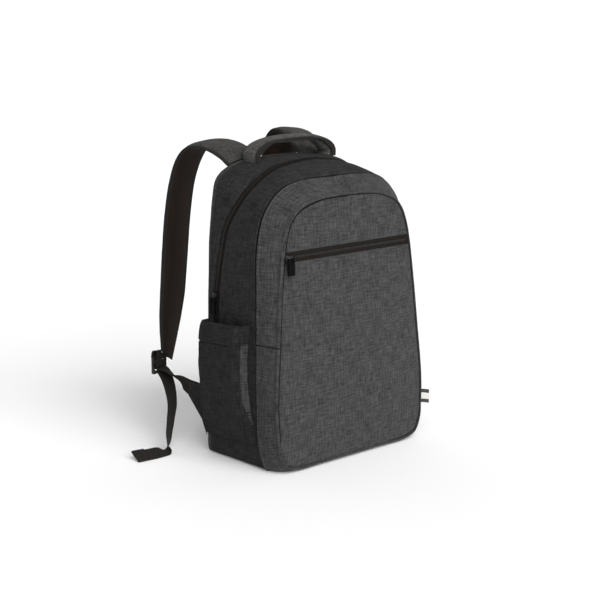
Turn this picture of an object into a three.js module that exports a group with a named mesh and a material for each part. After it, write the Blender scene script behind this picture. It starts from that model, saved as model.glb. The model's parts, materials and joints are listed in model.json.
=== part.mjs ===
// Laptop backpack: a zipped main compartment with a front pocket, two open side pockets,
// a haul handle and two padded shoulder straps. Millimetres, +Z up, front panel towards -Y,
// origin at the middle of the flat base.

import * as THREE from 'three';
import { LoftGeometry } from 'three/addons/geometries/LoftGeometry.js';

// Driving sizes of the bag
const bagWidth = 300;
const bagDepth = 168.7;
const bagHeight = 448;
const frontLean = 20; // how far the front panel leans back over the bag's height
const clothWall = 2.5;
const padThickness = 9; // padded back panel
const seamGap = 0.3; // clearance between pieces that are sewn to each other
const backCrown = 5; // how far a face swells at its middle
const lowerPanelCrown = 8;
const upperPanelCrown = 4;
const gussetSwell = 3; // how far a gusset bellies out between its two seams
const mainSwell = 4; // the same for the wide gusset in front of the main zip
const flatFoot = 0.07; // share of that gusset's length that stays flat beside a pocket
const fullFoot = 0.2; // and the share from which it swells fully
const crossSeamRow = 7; // seam row where the side panels and the lower pocket gusset end
const baseTopRow = 5; // seam row where the base ends on the sides
const sideRow = 3; // seam row where the sides begin, at the base's round corners

// Zips
const zipTapeWidth = 15;
const zipTapeThickness = 1.4;
const zipRecess = 0.8; // how deep a tape lies under the cloth beside it
const coilWidth = 5;
const coilHeight = 1.6;
const frontZipHeight = 319;
const frontZipWidth = 15;
const mainSliderHeight = 246;
const sliderLength = 13;
const sliderWidth = 9;
const sliderThickness = 5;
const sliderTaper = 0.6; // width of its narrow end as a share of its width
const pullerLength = 25;
const pullerWidth = 10;
const pullerThickness = 3.2;
const pullerCorner = 2;
const pullerOverlap = 6; // length of puller that lies over its slider

// Side pockets
const pocketHeight = 217; // top edge above the floor
const pocketBottom = 33;
const pocketStand = 24; // how far the pouch stands off the side

// Haul handle
const handleSpan = 158; // between the middles of its two feet
const handleRise = 26; // from the bag's crown up to the middle of the arch
const handleWidth = 36;
const handlePad = 8;
const handleBack = 24; // from the back panel's face forward to the middle of the handle
const handleSeat = 0.9; // how far its feet stay above the gusset's swell

// Shoulder straps, ladder locks and webbing
const strapWidth = 65;
const strapPad = 11;
const strapSeat = 1; // from the back panel's rim to the strap's sewn end
const strapReachLeft = 140; // how far the strap swings out behind the back panel
const strapReachRight = 100;
const strapArchLeft = 16; // how far the strap arches above the bag
const strapArchRight = 30;
const strapEndLeft = 138; // height of the padded strap's lower end
const strapEndRight = 112;
const webbingWidth = 25;
const webbingThickness = 1.6;
const lockWidth = 34;
const lockLength = 28;
const lockThickness = 5.5;
const lockBar = 3.4; // height of the lock's end bars
const lockMiddleBar = 6;
const slotPlay = 2; // how much longer the lock's slots are than the webbing is wide
const lockGap = 0.8; // clearance between the lock's bars and the webbing round them
const lockYaw = 15; // degrees the lock turns from the back panel's plane
const lockAside = lockWidth * 0.4; // from the strap's lower end to the middle of the lock
const lockBehind = lockThickness * 0.7;
const lockDrop = lockLength * 0.8;
const tailSeat = 0.17; // where the two webbings pass the lower slot, as shares of its height
const webbingSeat = 0.63;
const wingThickness = 3;
const wingReach = 42; // how far the lower wing stands out behind the back panel
const wingHeight = 105;
const tailSpread = 112; // how far the loose webbing end lies out to the side
const tailForward = 84;

// Label loop in the front seam
const labelHeight = 66;
const labelWidth = 22;
const labelReach = 20;
const labelThickness = 1.8;

const samplesPerRow = 2;
const halfWidth = bagWidth / 2;
const halfDepth = bagDepth / 2;

const fabric = { color: 0x44464a, roughness: 0.95, metalness: 0 };
const fabricSide = { color: 0x3a3c40, roughness: 0.95, metalness: 0 };
const lining = { color: 0x2e2826, roughness: 0.97, metalness: 0 };
const zipBlack = { color: 0x1e1b1a, roughness: 0.8, metalness: 0 };
const webbingBlack = { color: 0x26241f, roughness: 0.85, metalness: 0 };
const mouldedBlack = { color: 0x141414, roughness: 0.45, metalness: 0 };
const sliderMetal = { color: 0x3c3c3e, roughness: 0.35, metalness: 0.8 };
const labelWhite = { color: 0xdcdcd8, roughness: 0.9, metalness: 0 };

// Half outline of each seam, from the middle of the base (row 0) up to the crown (row 16).
// reach is a share of half the width, rise of the height, set of the depth from the back.
const backSeamRows = [
  { reach: 0.000, rise: 0.000, set: 0 },
  { reach: 0.500, rise: 0.000, set: 0 },
  { reach: 0.933, rise: 0.000, set: 0 },
  { reach: 0.983, rise: 0.006, set: 0 },
  { reach: 1.000, rise: 0.025, set: 0 },
  { reach: 1.000, rise: 0.076, set: 0 },
  { reach: 0.990, rise: 0.223, set: 0 },
  { reach: 0.980, rise: 0.424, set: 0 },
  { reach: 0.972, rise: 0.572, set: 0 },
  { reach: 0.955, rise: 0.719, set: 0 },
  { reach: 0.937, rise: 0.793, set: 0 },
  { reach: 0.910, rise: 0.871, set: 0 },
  { reach: 0.863, rise: 0.933, set: 0 },
  { reach: 0.767, rise: 0.963, set: 0 },
  { reach: 0.560, rise: 0.988, set: 0 },
  { reach: 0.280, rise: 0.997, set: 0 },
  { reach: 0.000, rise: 1.000, set: 0 }
];

const middleSeamRows = [
  { reach: 0.000, rise: 0.000, set: 0.779 },
  { reach: 0.500, rise: 0.000, set: 0.779 },
  { reach: 0.893, rise: 0.000, set: 0.779 },
  { reach: 0.973, rise: 0.009, set: 0.779 },
  { reach: 1.000, rise: 0.040, set: 0.761 },
  { reach: 1.003, rise: 0.094, set: 0.716 },
  { reach: 1.010, rise: 0.223, set: 0.708 },
  { reach: 1.010, rise: 0.424, set: 0.708 },
  { reach: 1.008, rise: 0.575, set: 0.708 },
  { reach: 1.003, rise: 0.719, set: 0.708 },
  { reach: 0.977, rise: 0.781, set: 0.708 },
  { reach: 0.913, rise: 0.844, set: 0.708 },
  { reach: 0.817, rise: 0.886, set: 0.708 },
  { reach: 0.693, rise: 0.919, set: 0.708 },
  { reach: 0.507, rise: 0.938, set: 0.708 },
  { reach: 0.253, rise: 0.945, set: 0.708 },
  { reach: 0.000, rise: 0.946, set: 0.708 }
];

// The front seam lies in the leaning plane of the front panel, so it needs no set
const frontSeamRows = [
  { reach: 0.000, rise: 0.011 },
  { reach: 0.467, rise: 0.011 },
  { reach: 0.745, rise: 0.011 },
  { reach: 0.903, rise: 0.026 },
  { reach: 0.983, rise: 0.073 },
  { reach: 1.003, rise: 0.129 },
  { reach: 1.013, rise: 0.223 },
  { reach: 0.963, rise: 0.424 },
  { reach: 0.920, rise: 0.575 },
  { reach: 0.867, rise: 0.719 },
  { reach: 0.833, rise: 0.772 },
  { reach: 0.773, rise: 0.821 },
  { reach: 0.680, rise: 0.855 },
  { reach: 0.547, rise: 0.876 },
  { reach: 0.367, rise: 0.890 },
  { reach: 0.180, rise: 0.894 },
  { reach: 0.000, rise: 0.895 }
];

// Middle of the main zip, from the cross seam row up to the crown
const mainZipRows = [
  { reach: 0.990, rise: 0.424, set: 0.132 },
  { reach: 0.987, rise: 0.572, set: 0.147 },
  { reach: 0.985, rise: 0.721, set: 0.227 },
  { reach: 0.967, rise: 0.786, set: 0.263 },
  { reach: 0.907, rise: 0.862, set: 0.352 },
  { reach: 0.800, rise: 0.909, set: 0.384 },
  { reach: 0.673, rise: 0.941, set: 0.396 },
  { reach: 0.493, rise: 0.973, set: 0.399 },
  { reach: 0.247, rise: 0.991, set: 0.399 },
  { reach: 0.000, rise: 0.998, set: 0.399 }
];

// Dents of the upper pocket gusset: at and width are shares of its length, depth of its swell
const gussetDents = [
  { at: 0.36, width: 0.10, depth: 0.7 },
  { at: 0.50, width: 0.045, depth: 2.0 },
  { at: 0.72, width: 0.08, depth: 0.8 }
];

// Side pocket, bottom to top: rise is a share of its height, stand of its stand-off,
// front and back are shares of the bag's depth from the back panel's face forward
const pocketRows = [
  { rise: 0.00, stand: 0.16, back: 0.035, front: 0.640 },
  { rise: 0.07, stand: 0.34, back: 0.035, front: 0.650 },
  { rise: 0.20, stand: 0.66, back: 0.035, front: 0.640 },
  { rise: 0.36, stand: 0.94, back: 0.035, front: 0.605 },
  { rise: 0.55, stand: 1.00, back: 0.035, front: 0.585 },
  { rise: 0.72, stand: 0.98, back: 0.035, front: 0.585 },
  { rise: 0.86, stand: 0.86, back: 0.035, front: 0.600 },
  { rise: 1.00, stand: 0.62, back: 0.035, front: 0.615 }
];

// Cross section of the pouch: along is a share from its back seam to its front fold, off of
// its stand-off, and inner the way in which its wall is thick there. Its two ends meet the
// side of the bag.
const pouchPoints = [
  { along: 0.00, off: 0.00, inner: -1 },
  { along: 0.01, off: 0.72, inner: -1 },
  { along: 0.10, off: 1.00, inner: 0 },
  { along: 0.50, off: 1.00, inner: 0 },
  { along: 0.84, off: 0.93, inner: 0 },
  { along: 0.97, off: 0.74, inner: 1 },
  { along: 1.00, off: 0.40, inner: 1 },
  { along: 1.00, off: 0.00, inner: 1 }
];

// Haul handle from foot to crown: out is a share of half its span, rise of its own rise, pad
// and width of its own thickness and width, which roll up at the grip
const handleRows = [
  { out: 1.00, rise: 0.25, width: 1.00, pad: 1.0 },
  { out: 0.93, rise: 0.52, width: 1.00, pad: 1.0 },
  { out: 0.75, rise: 0.80, width: 1.00, pad: 1.1 },
  { out: 0.50, rise: 0.95, width: 0.96, pad: 1.3 },
  { out: 0.25, rise: 0.99, width: 0.92, pad: 1.5 },
  { out: 0.00, rise: 1.00, width: 0.90, pad: 1.6 }
];

// Shoulder strap from its seam to its lower end: out is a share of half the bag's width,
// behind of the strap's reach, rise from the lower end up to the bag's top, arch of the
// strap's arch, width of its width; yaw and tilt turn its width, in degrees
const strapRows = [
  { out: 0.480, behind: 0.000, rise: 0.976, arch: 0.00, width: 0.96, yaw: 0, tilt: 9 },
  { out: 0.480, behind: 0.150, rise: 1.000, arch: 0.25, width: 1.00, yaw: 4, tilt: 9 },
  { out: 0.482, behind: 0.360, rise: 1.000, arch: 0.78, width: 1.00, yaw: 6, tilt: 8 },
  { out: 0.490, behind: 0.580, rise: 1.000, arch: 0.92, width: 1.00, yaw: 8, tilt: 6 },
  { out: 0.505, behind: 0.770, rise: 0.998, arch: 0.50, width: 1.00, yaw: 10, tilt: 4 },
  { out: 0.530, behind: 0.895, rise: 0.955, arch: 0.00, width: 1.00, yaw: 12, tilt: 0 },
  { out: 0.565, behind: 0.970, rise: 0.845, arch: 0.00, width: 1.00, yaw: 14, tilt: -2 },
  { out: 0.620, behind: 0.985, rise: 0.684, arch: 0.00, width: 1.00, yaw: 14, tilt: -4 },
  { out: 0.690, behind: 0.955, rise: 0.474, arch: 0.00, width: 1.00, yaw: 14, tilt: -6 },
  { out: 0.755, behind: 0.920, rise: 0.281, arch: 0.00, width: 0.98, yaw: 15, tilt: -10 },
  { out: 0.810, behind: 0.895, rise: 0.160, arch: 0.00, width: 0.90, yaw: 17, tilt: -16 },
  { out: 0.860, behind: 0.865, rise: 0.070, arch: 0.00, width: 0.76, yaw: 19, tilt: -26 },
  { out: 0.905, behind: 0.830, rise: 0.000, arch: 0.00, width: 0.56, yaw: 20, tilt: -34 }
];

// Way of the tab behind the lock's top bar and out of the slot: up from the slot's top in
// bars, back from the middle of the lock in the distance at which the webbing clears it, aside
// as a share of the lock's width, and slant how much of its width still lies as at the strap
const tabRows = [
  { up: 2.40, back: 1.30, aside: 0.100, slant: 0.40 },
  { up: 1.00, back: 1.30, aside: 0.040, slant: 0.10 },
  { up: -0.28, back: 1.00, aside: 0.005, slant: 0.00 },
  { up: -0.70, back: 0.00, aside: 0.000, slant: 0.00 },
  { up: -0.70, back: -1.00, aside: 0.000, slant: 0.00 }
];
const tabTurn = 0.8; // slant of the tab halfway between the strap and the first of these rows

// Lower webbing from the wing to the lock: along is a share of its way, upright how much of
// its width still stands as at the wing
const webbingRows = [
  { along: 0.00, upright: 1.00 },
  { along: 0.22, upright: 0.80 },
  { along: 0.45, upright: 0.40 },
  { along: 0.70, upright: 0.33 },
  { along: 0.88, upright: 0.16 },
  { along: 1.00, upright: 0.00 }
];

// Lower edge of the wing: out is a share of its reach, high of its height
const wingEdge = [
  { out: 0.00, high: 0.24 },
  { out: 0.25, high: 0.46 }
];
const wingEndHigh = 0.89; // height of the webbing's middle at the wing, as a share

// Loose end of the webbing: aside and forward are shares of its spread on the floor and of
// its way forward, drop of the lock's height; lying rows rest on the floor
const tailRows = [
  { aside: 0.000, forward: 0.00, drop: 0.000, yaw: 15, tilt: 0 },
  { aside: -0.003, forward: 0.06, drop: 0.022, yaw: 15, tilt: 0 },
  { aside: 0.015, forward: 0.16, drop: 0.058, yaw: 17, tilt: 0 },
  { aside: 0.055, forward: 0.30, drop: 0.115, yaw: 20, tilt: 0 },
  { aside: 0.12, forward: 0.49, drop: 0.230, yaw: 23, tilt: 0 },
  { aside: 0.19, forward: 0.65, drop: 0.380, yaw: 26, tilt: 0 },
  { aside: 0.30, forward: 0.79, drop: 0.585, yaw: 30, tilt: 0 },
  { aside: 0.38, forward: 0.88, drop: 0.745, yaw: 34, tilt: 0 },
  { aside: 0.43, forward: 0.94, drop: 0.860, yaw: 42, tilt: 2 },
  { aside: 0.48, forward: 0.97, drop: 0.950, yaw: 56, tilt: 8 },
  { aside: 0.56, forward: 0.99, drop: 1.000, yaw: 72, tilt: 16 },
  { aside: 0.72, forward: 1.00, drop: 1.000, yaw: 85, tilt: 22 },
  { aside: 1.00, forward: 0.96, drop: 1.000, yaw: 97, tilt: 24 }
];

const degrees = Math.PI / 180;
const mix = (from, to, share) => from + (to - from) * share;

// Reverses each triangle of a piece
function turnedOver(geometry) {
  const place = geometry.getAttribute('position');
  const turned = new Float32Array(place.count * 3);
  for (let i = 0; i < place.count; i += 3) {
    [i, i + 2, i + 1].forEach((from, k) => {
      turned.set([place.getX(from), place.getY(from), place.getZ(from)], (i + k) * 3);
    });
  }
  return fromTriangles(turned);
}

function fromTriangles(numbers) {
  const geometry = new THREE.BufferGeometry();
  geometry.setAttribute('position', new THREE.BufferAttribute(new Float32Array(numbers), 3));
  geometry.computeVertexNormals();
  return geometry;
}

// Faces the surface of a closed piece outwards
function facedOut(geometry) {
  const place = geometry.getAttribute('position');
  const corner = [new THREE.Vector3(), new THREE.Vector3(), new THREE.Vector3()];
  let volume = 0;
  for (let i = 0; i < place.count; i += 3) {
    corner.forEach((point, k) => point.fromBufferAttribute(place, i + k));
    volume += corner[0].dot(corner[1].cross(corner[2]));
  }
  return volume > 0 ? geometry : turnedOver(geometry);
}

// A loft closed at both ends; its sections are turned so that sides and ends face out
function solidLoft(sections) {
  const way = centreOf(sections[1]).sub(centreOf(sections[0]));
  const turnedIn = ringNormal(sections[0]).dot(way) < 0;
  const rings = turnedIn ? sections.map((ring) => ring.slice().reverse()) : sections;
  const ends = { closed: true, capStart: true, capEnd: true };
  return new LoftGeometry(rings, ends).toNonIndexed();
}

function ringNormal(ring) {
  const middle = centreOf(ring);
  return ring.reduce((total, point, i) => {
    const next = ring[(i + 1) % ring.length];
    return total.add(point.clone().sub(middle).cross(next.clone().sub(middle)));
  }, new THREE.Vector3());
}

// A loft whose two end rings are closed by fans of triangles from their middles
function fannedLoft(sections) {
  const sides = new LoftGeometry(sections, { closed: true }).toNonIndexed();
  const triangles = Array.from(sides.getAttribute('position').array);
  const fan = (ring, forwards) => {
    const middle = centreOf(ring);
    ring.forEach((point, i) => {
      const next = ring[(i + 1) % ring.length];
      const corners = forwards ? [point, next, middle] : [next, point, middle];
      corners.forEach((corner) => triangles.push(corner.x, corner.y, corner.z));
    });
  };
  fan(sections[0], false);
  fan(sections[sections.length - 1], true);
  return facedOut(fromTriangles(triangles));
}

function centreOf(points) {
  const sum = points.reduce((total, point) => total.add(point), new THREE.Vector3());
  return sum.divideScalar(points.length);
}

// Leaning plane of the front panel
const frontFace = (height) => -halfDepth + frontLean * height / bagHeight;

// A seam is a list of edges; each has a place and the direction into the bag
function seamFrom(points, ring) {
  const last = points.length - 1;
  return points.map((place, i) => {
    const before = points[ring ? (i + last) % (last + 1) : Math.max(i - 1, 0)];
    const after = points[ring ? (i + 1) % (last + 1) : Math.min(i + 1, last)];
    const inward = new THREE.Vector3(after.z - before.z, 0, before.x - after.x).normalize();
    return { place, inward };
  });
}

// Whole ring: base middle, up the left side, over the crown and down the right side
function ringSeam(rows, depthAt) {
  const left = rows.map((row) => new THREE.Vector3(
    -row.reach * halfWidth, depthAt(row), row.rise * bagHeight));
  const right = left.slice(1, -1).reverse().map((p) => new THREE.Vector3(-p.x, p.y, p.z));
  const curve = new THREE.CatmullRomCurve3([...left, ...right], true, 'centripetal');
  const count = curve.points.length * samplesPerRow;
  return seamFrom(Array.from({ length: count }, (unused, i) => {
    const point = curve.getPoint(i / count);
    return point.setZ(Math.max(point.z, 0));
  }), true);
}

// Arch over the top only, from foot to foot
function archSeam(rows, depthAt) {
  const left = rows.map((row) => new THREE.Vector3(
    -row.reach * halfWidth, depthAt(row), row.rise * bagHeight));
  const right = left.slice(0, -1).reverse().map((p) => new THREE.Vector3(-p.x, p.y, p.z));
  const curve = new THREE.CatmullRomCurve3([...left, ...right], false, 'centripetal');
  const count = (curve.points.length - 1) * samplesPerRow;
  return seamFrom(
    Array.from({ length: count + 1 }, (unused, i) => curve.getPoint(i / count)), false);
}

const setDepth = (row) => halfDepth - row.set * bagDepth;
const backSeam = ringSeam(backSeamRows, setDepth);
const middleSeam = ringSeam(middleSeamRows, setDepth);
const frontSeam = ringSeam(frontSeamRows, (row) => frontFace(row.rise * bagHeight));
const mainZipSeam = archSeam(mainZipRows, setDepth);

// Moves a seam along the cloth towards another one
function towards(seam, other, distance) {
  return seam.map((edge, i) => {
    const way = other[i].place.clone().sub(edge.place).normalize();
    return { place: edge.place.clone().addScaledVector(way, distance), inward: edge.inward };
  });
}

// Moves a seam along the cloth towards another one until it lies this much further back
function setBack(seam, other, depth) {
  return seam.map((edge, i) => {
    const share = depth / Math.abs(other[i].place.y - edge.place.y);
    return { place: edge.place.clone().lerp(other[i].place, share), inward: edge.inward };
  });
}

// A seam that runs at the given share of the way between two others
function between(rear, front, share) {
  return front.map((edge, i) => ({
    place: rear[i].place.clone().lerp(edge.place, share),
    inward: rear[i].inward.clone().lerp(edge.inward, share).normalize()
  }));
}

const ringLength = backSeam.length;
const lastRow = backSeamRows.length - 1;

// Part of a ring between two seam rows on the left side, over the crown or round the base
const overCrown = (ring, row) => ring.slice(row * samplesPerRow,
  ringLength - row * samplesPerRow + 1);
const leftSide = (ring, low, high) => ring.slice(low * samplesPerRow,
  high * samplesPerRow + 1);
const roundBase = (ring, row) => [
  ...ring.slice(ringLength - row * samplesPerRow),
  ...ring.slice(0, row * samplesPerRow + 1)
];

// A strip of cloth between two seams, bellied out by swell(share of its length)
function strip(rear, front, swell, wall = clothWall) {
  return solidLoft(rear.map((edge, i) => {
    const ahead = front[i];
    const belly = -swell(i / (rear.length - 1));
    const middle = edge.place.clone().add(ahead.place).multiplyScalar(0.5);
    const inward = edge.inward.clone().add(ahead.inward).normalize();
    middle.addScaledVector(inward, belly).setZ(Math.max(middle.z, 0));
    return [
      edge.place,
      middle,
      ahead.place,
      ahead.place.clone().addScaledVector(ahead.inward, wall),
      middle.clone().addScaledVector(inward, wall),
      edge.place.clone().addScaledVector(edge.inward, wall)
    ];
  }));
}

// Shortens a strip at both ends, so that it keeps clear of the strips that it meets
function trimEnds(seam, distance) {
  const trimmed = seam.slice();
  const shift = (end, next) => {
    const way = seam[next].place.clone().sub(seam[end].place).normalize();
    return {
      place: seam[end].place.clone().addScaledVector(way, distance),
      inward: seam[end].inward
    };
  };
  const last = seam.length - 1;
  trimmed[0] = shift(0, 1);
  trimmed[last] = shift(last, last - 1);
  return trimmed;
}

// A panel inside a rim of points: it has a wall and swells by crown at its middle, along face
const ringShares = [1, 0.8, 0.45];
function panel(rim, face, wall, crown) {
  const centre = centreOf(rim);
  const ringAt = (share, depth) => rim.map((p) => centre.clone().lerp(p, share)
    .addScaledVector(face, crown * (1 - share * share) - depth));
  const outer = ringShares.map((share) => ringAt(share, 0));
  const inner = ringShares.map((share) => ringAt(share, wall));
  return fannedLoft([...outer.reverse(), ...inner]);
}

// A flat band through rows of { place, across, width, thickness }, with rounded edges
const bandShape = [
  { u: -0.50, v: 0.00 }, { u: -0.46, v: 0.42 }, { u: 0.00, v: 0.50 }, { u: 0.46, v: 0.42 },
  { u: 0.50, v: 0.00 }, { u: 0.46, v: -0.42 }, { u: 0.00, v: -0.50 }, { u: -0.46, v: -0.42 }
];
const tapeShape = [
  { u: -0.5, v: 0.5 }, { u: 0.5, v: 0.5 }, { u: 0.5, v: -0.5 }, { u: -0.5, v: -0.5 }
];
function bandSections(rows, shape) {
  return rows.map((row, i) => {
    const before = rows[Math.max(i - 1, 0)].place;
    const after = rows[Math.min(i + 1, rows.length - 1)].place;
    const along = after.clone().sub(before).normalize();
    const across = row.across.clone().addScaledVector(along, -row.across.dot(along)).normalize();
    const normal = new THREE.Vector3().crossVectors(along, across);
    return shape.map(({ u, v }) => row.place.clone()
      .addScaledVector(across, u * row.width)
      .addScaledVector(normal, v * row.thickness));
  });
}

// A loft of a flat tape. The diagonals of its two faces run alike, so that the tape keeps its
// thickness where it twists.
function tapeLoft(sections) {
  const triangles = [];
  const put = (...corners) => corners.forEach((p) => triangles.push(p.x, p.y, p.z));
  sections.slice(1).forEach((next, i) => {
    const ring = sections[i];
    put(ring[0], ring[1], next[1], ring[0], next[1], next[0]);
    put(ring[1], ring[2], next[2], ring[1], next[2], next[1]);
    put(ring[2], ring[3], next[2], ring[3], next[3], next[2]);
    put(ring[3], ring[0], next[0], ring[3], next[0], next[3]);
  });
  const first = sections[0];
  const last = sections[sections.length - 1];
  put(first[0], first[3], first[2], first[0], first[2], first[1]);
  put(last[0], last[1], last[2], last[0], last[2], last[3]);
  return facedOut(fromTriangles(triangles));
}

// Smooths a table of rows into evenly numbered steps between them
function smoothRows(rows, stepsPerRow) {
  const spline = (key) => new THREE.CatmullRomCurve3(
    rows.map((row) => row[key]), false, 'centripetal');
  const places = spline('place');
  const acrosses = spline('across');
  const count = (rows.length - 1) * stepsPerRow;
  return Array.from({ length: count + 1 }, (unused, i) => {
    const t = i / count;
    const row = Math.min(Math.floor(i / stepsPerRow), rows.length - 2);
    const share = i / stepsPerRow - row;
    return {
      place: places.getPoint(t),
      across: acrosses.getPoint(t).normalize(),
      width: mix(rows[row].width, rows[row + 1].width, share),
      thickness: mix(rows[row].thickness, rows[row + 1].thickness, share)
    };
  });
}

// Lifts a section until its lowest point is no deeper than the floor
function onFloor(section) {
  const sunk = Math.min(0, ...section.map((point) => point.z));
  return section.map((point) => point.clone().setZ(point.z - sunk));
}

const turned = (yaw, tilt) => new THREE.Vector3(
  Math.cos(yaw * degrees) * Math.cos(tilt * degrees),
  Math.sin(yaw * degrees) * Math.cos(tilt * degrees),
  Math.sin(tilt * degrees));

const backpack = new THREE.Group();

function add(name, geometry, finish) {
  const mesh = new THREE.Mesh(geometry, new THREE.MeshStandardMaterial(finish));
  mesh.name = name;
  backpack.add(mesh);
  return mesh;
}

const level = () => 0;
const belly = () => gussetSwell;
const full = (share) => mainSwell
  * THREE.MathUtils.smoothstep(Math.min(share, 1 - share), flatFoot, fullFoot);
const dented = (share) => gussetSwell * (1 - gussetDents.reduce((sum, dent) => {
  const off = (share - dent.at) / dent.width;
  return sum + dent.depth * Math.exp(-off * off);
}, 0));

// Back panel, padded
function backPanel() {
  add('back_panel', panel(backSeam.map((edge) => edge.place), new THREE.Vector3(0, 1, 0),
    padThickness, backCrown), lining);
}

// The gussets between the seams, the side panels and the base
const backEdge = setBack(backSeam, middleSeam, padThickness + seamGap);
const middleRear = towards(middleSeam, backSeam, seamGap / 2);
const middleFront = towards(middleSeam, frontSeam, seamGap / 2);
const frontEdge = setBack(frontSeam, middleSeam, clothWall + seamGap);
const zipRear = towards(mainZipSeam, overCrown(backSeam, crossSeamRow), zipTapeWidth / 2);
const zipFront = towards(mainZipSeam, overCrown(middleSeam, crossSeamRow), zipTapeWidth / 2);

function gussets() {
  const crownStrip = (rear, front, swell) => strip(
    trimEnds(rear, seamGap / 2), trimEnds(front, seamGap / 2), swell);
  add('rear_gusset', crownStrip(overCrown(backEdge, crossSeamRow), zipRear, belly), fabricSide);
  add('front_gusset',
    crownStrip(zipFront, overCrown(middleRear, crossSeamRow), full), fabricSide);
  add('pocket_gusset_upper', crownStrip(overCrown(middleFront, crossSeamRow),
    overCrown(frontEdge, crossSeamRow), dented), fabric);
  add('pocket_gusset_lower', crownStrip(roundBase(middleFront, crossSeamRow),
    roundBase(frontEdge, crossSeamRow), belly), fabric);
  add('base_panel',
    crownStrip(roundBase(backEdge, baseTopRow), roundBase(middleRear, baseTopRow), level),
    fabricSide);
  const rear = leftSide(backEdge, baseTopRow, crossSeamRow);
  const front = leftSide(middleRear, baseTopRow, crossSeamRow);
  const side = crownStrip(rear, front, level);
  add('side_panel_left', side, fabricSide);
  add('side_panel_right', mirrored(side), fabricSide);
}

// Mirror image of a piece on the other side of the bag
function mirrored(geometry) {
  const flat = geometry.index ? geometry.toNonIndexed() : geometry.clone();
  return turnedOver(flat.applyMatrix4(new THREE.Matrix4().makeScale(-1, 1, 1)));
}

// Front panel in two parts with its zip between them
function seamAtHeight(seam, height) {
  const i = seam.findIndex((edge, k) => k > 0 && edge.place.z >= height
    && seam[k - 1].place.z < height);
  const low = seam[i - 1].place;
  const high = seam[i].place;
  const share = (height - low.z) / (high.z - low.z);
  return { index: i, share, place: low.clone().lerp(high, share) };
}

const levelSteps = 8;
function levelEdge(from, to) {
  return Array.from({ length: levelSteps + 1 }, (unused, i) => from.clone()
    .lerp(to, i / levelSteps));
}

const opposite = (point) => new THREE.Vector3(-point.x, point.y, point.z);

function frontPanels() {
  const outwards = new THREE.Vector3(0, -1, 0);
  const high = seamAtHeight(frontSeam, frontZipHeight + frontZipWidth / 2);
  const low = seamAtHeight(frontSeam, frontZipHeight - frontZipWidth / 2);
  const places = frontSeam.map((edge) => edge.place);
  const crown = places.slice(high.index, ringLength - high.index + 1);
  const upperRim = [...levelEdge(opposite(high.place), high.place), ...crown];
  add('front_panel_upper', panel(upperRim, outwards, clothWall, upperPanelCrown), fabric);
  const foot = [...places.slice(ringLength - low.index + 1), ...places.slice(0, low.index)];
  const lowerRim = [...levelEdge(low.place, opposite(low.place)), ...foot];
  add('front_panel_lower', panel(lowerRim, outwards, clothWall, lowerPanelCrown), fabric);
}

function frontZip() {
  const centre = seamAtHeight(frontSeam, frontZipHeight).place;
  const along = new THREE.Vector3(1, 0, 0);
  const up = new THREE.Vector3(0, frontLean / bagHeight, 1).normalize();
  const span = (inset) => [centre, opposite(centre)].map((place, i) => place.clone()
    .addScaledVector(along, i === 0 ? inset : -inset));
  const bar = (inset, height, depth, thickness) => solidLoft(bandSections(
    span(inset).map((place) => ({
      place: place.setY(place.y + depth), across: up, width: height, thickness
    })), tapeShape));
  const tapeDepth = zipRecess + zipTapeThickness / 2;
  add('front_zip_tape', bar(clothWall, frontZipWidth - 2 * seamGap, tapeDepth,
    zipTapeThickness), zipBlack);
  const coilDepth = zipRecess - seamGap - coilHeight / 2;
  const coilInset = sliderLength + clothWall + seamGap;
  add('front_zip_coil', bar(coilInset, coilWidth, coilDepth, coilHeight), zipBlack);
}

// Main zip: its tape lies between the rear and front gussets, its coil on the tape
function mainZip() {
  const sink = (seam, depth) => seam.map((edge) => ({
    place: edge.place.clone().addScaledVector(edge.inward, depth), inward: edge.inward
  }));
  const tapeRear = towards(zipRear, mainZipSeam, seamGap);
  const tapeFront = towards(zipFront, mainZipSeam, seamGap);
  add('main_zip_tape', strip(sink(tapeRear, zipRecess), sink(tapeFront, zipRecess), level,
    zipTapeThickness), zipBlack);
  const coilEdge = (side) => sink(
    between(tapeRear, tapeFront, 0.5 + side * coilWidth / zipTapeWidth / 2),
    zipRecess - seamGap - coilHeight);
  const start = seamAtHeight(mainZipSeam, mainSliderHeight + sliderLength / 2 + seamGap);
  const fromSlider = (seam) => [
    between(seam.slice(start.index - 1), seam.slice(start.index), start.share)[0],
    ...seam.slice(start.index)
  ];
  add('main_zip_coil', strip(fromSlider(coilEdge(-1)), fromSlider(coilEdge(1)), level,
    coilHeight), zipBlack);
}

// Slider outline: a shield that narrows towards its lower end
function sliderGeometry() {
  const shield = new THREE.Shape();
  const half = sliderLength / 2;
  const wide = sliderWidth / 2;
  shield.moveTo(-wide, half);
  shield.lineTo(-wide, 0);
  shield.lineTo(-wide * sliderTaper, -half);
  shield.lineTo(wide * sliderTaper, -half);
  shield.lineTo(wide, 0);
  shield.lineTo(wide, half);
  return new THREE.ExtrudeGeometry(shield, { depth: sliderThickness, bevelEnabled: false });
}

function pullerGeometry() {
  const plate = new THREE.Shape();
  const wide = pullerWidth / 2;
  const cut = pullerCorner;
  plate.moveTo(-wide + cut, 0);
  plate.lineTo(wide - cut, 0);
  plate.lineTo(wide, -cut);
  plate.lineTo(wide, -pullerLength + cut);
  plate.lineTo(wide - cut, -pullerLength);
  plate.lineTo(-wide + cut, -pullerLength);
  plate.lineTo(-wide, -pullerLength + cut);
  plate.lineTo(-wide, -cut);
  return new THREE.ExtrudeGeometry(plate, { depth: pullerThickness, bevelEnabled: false });
}

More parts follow.
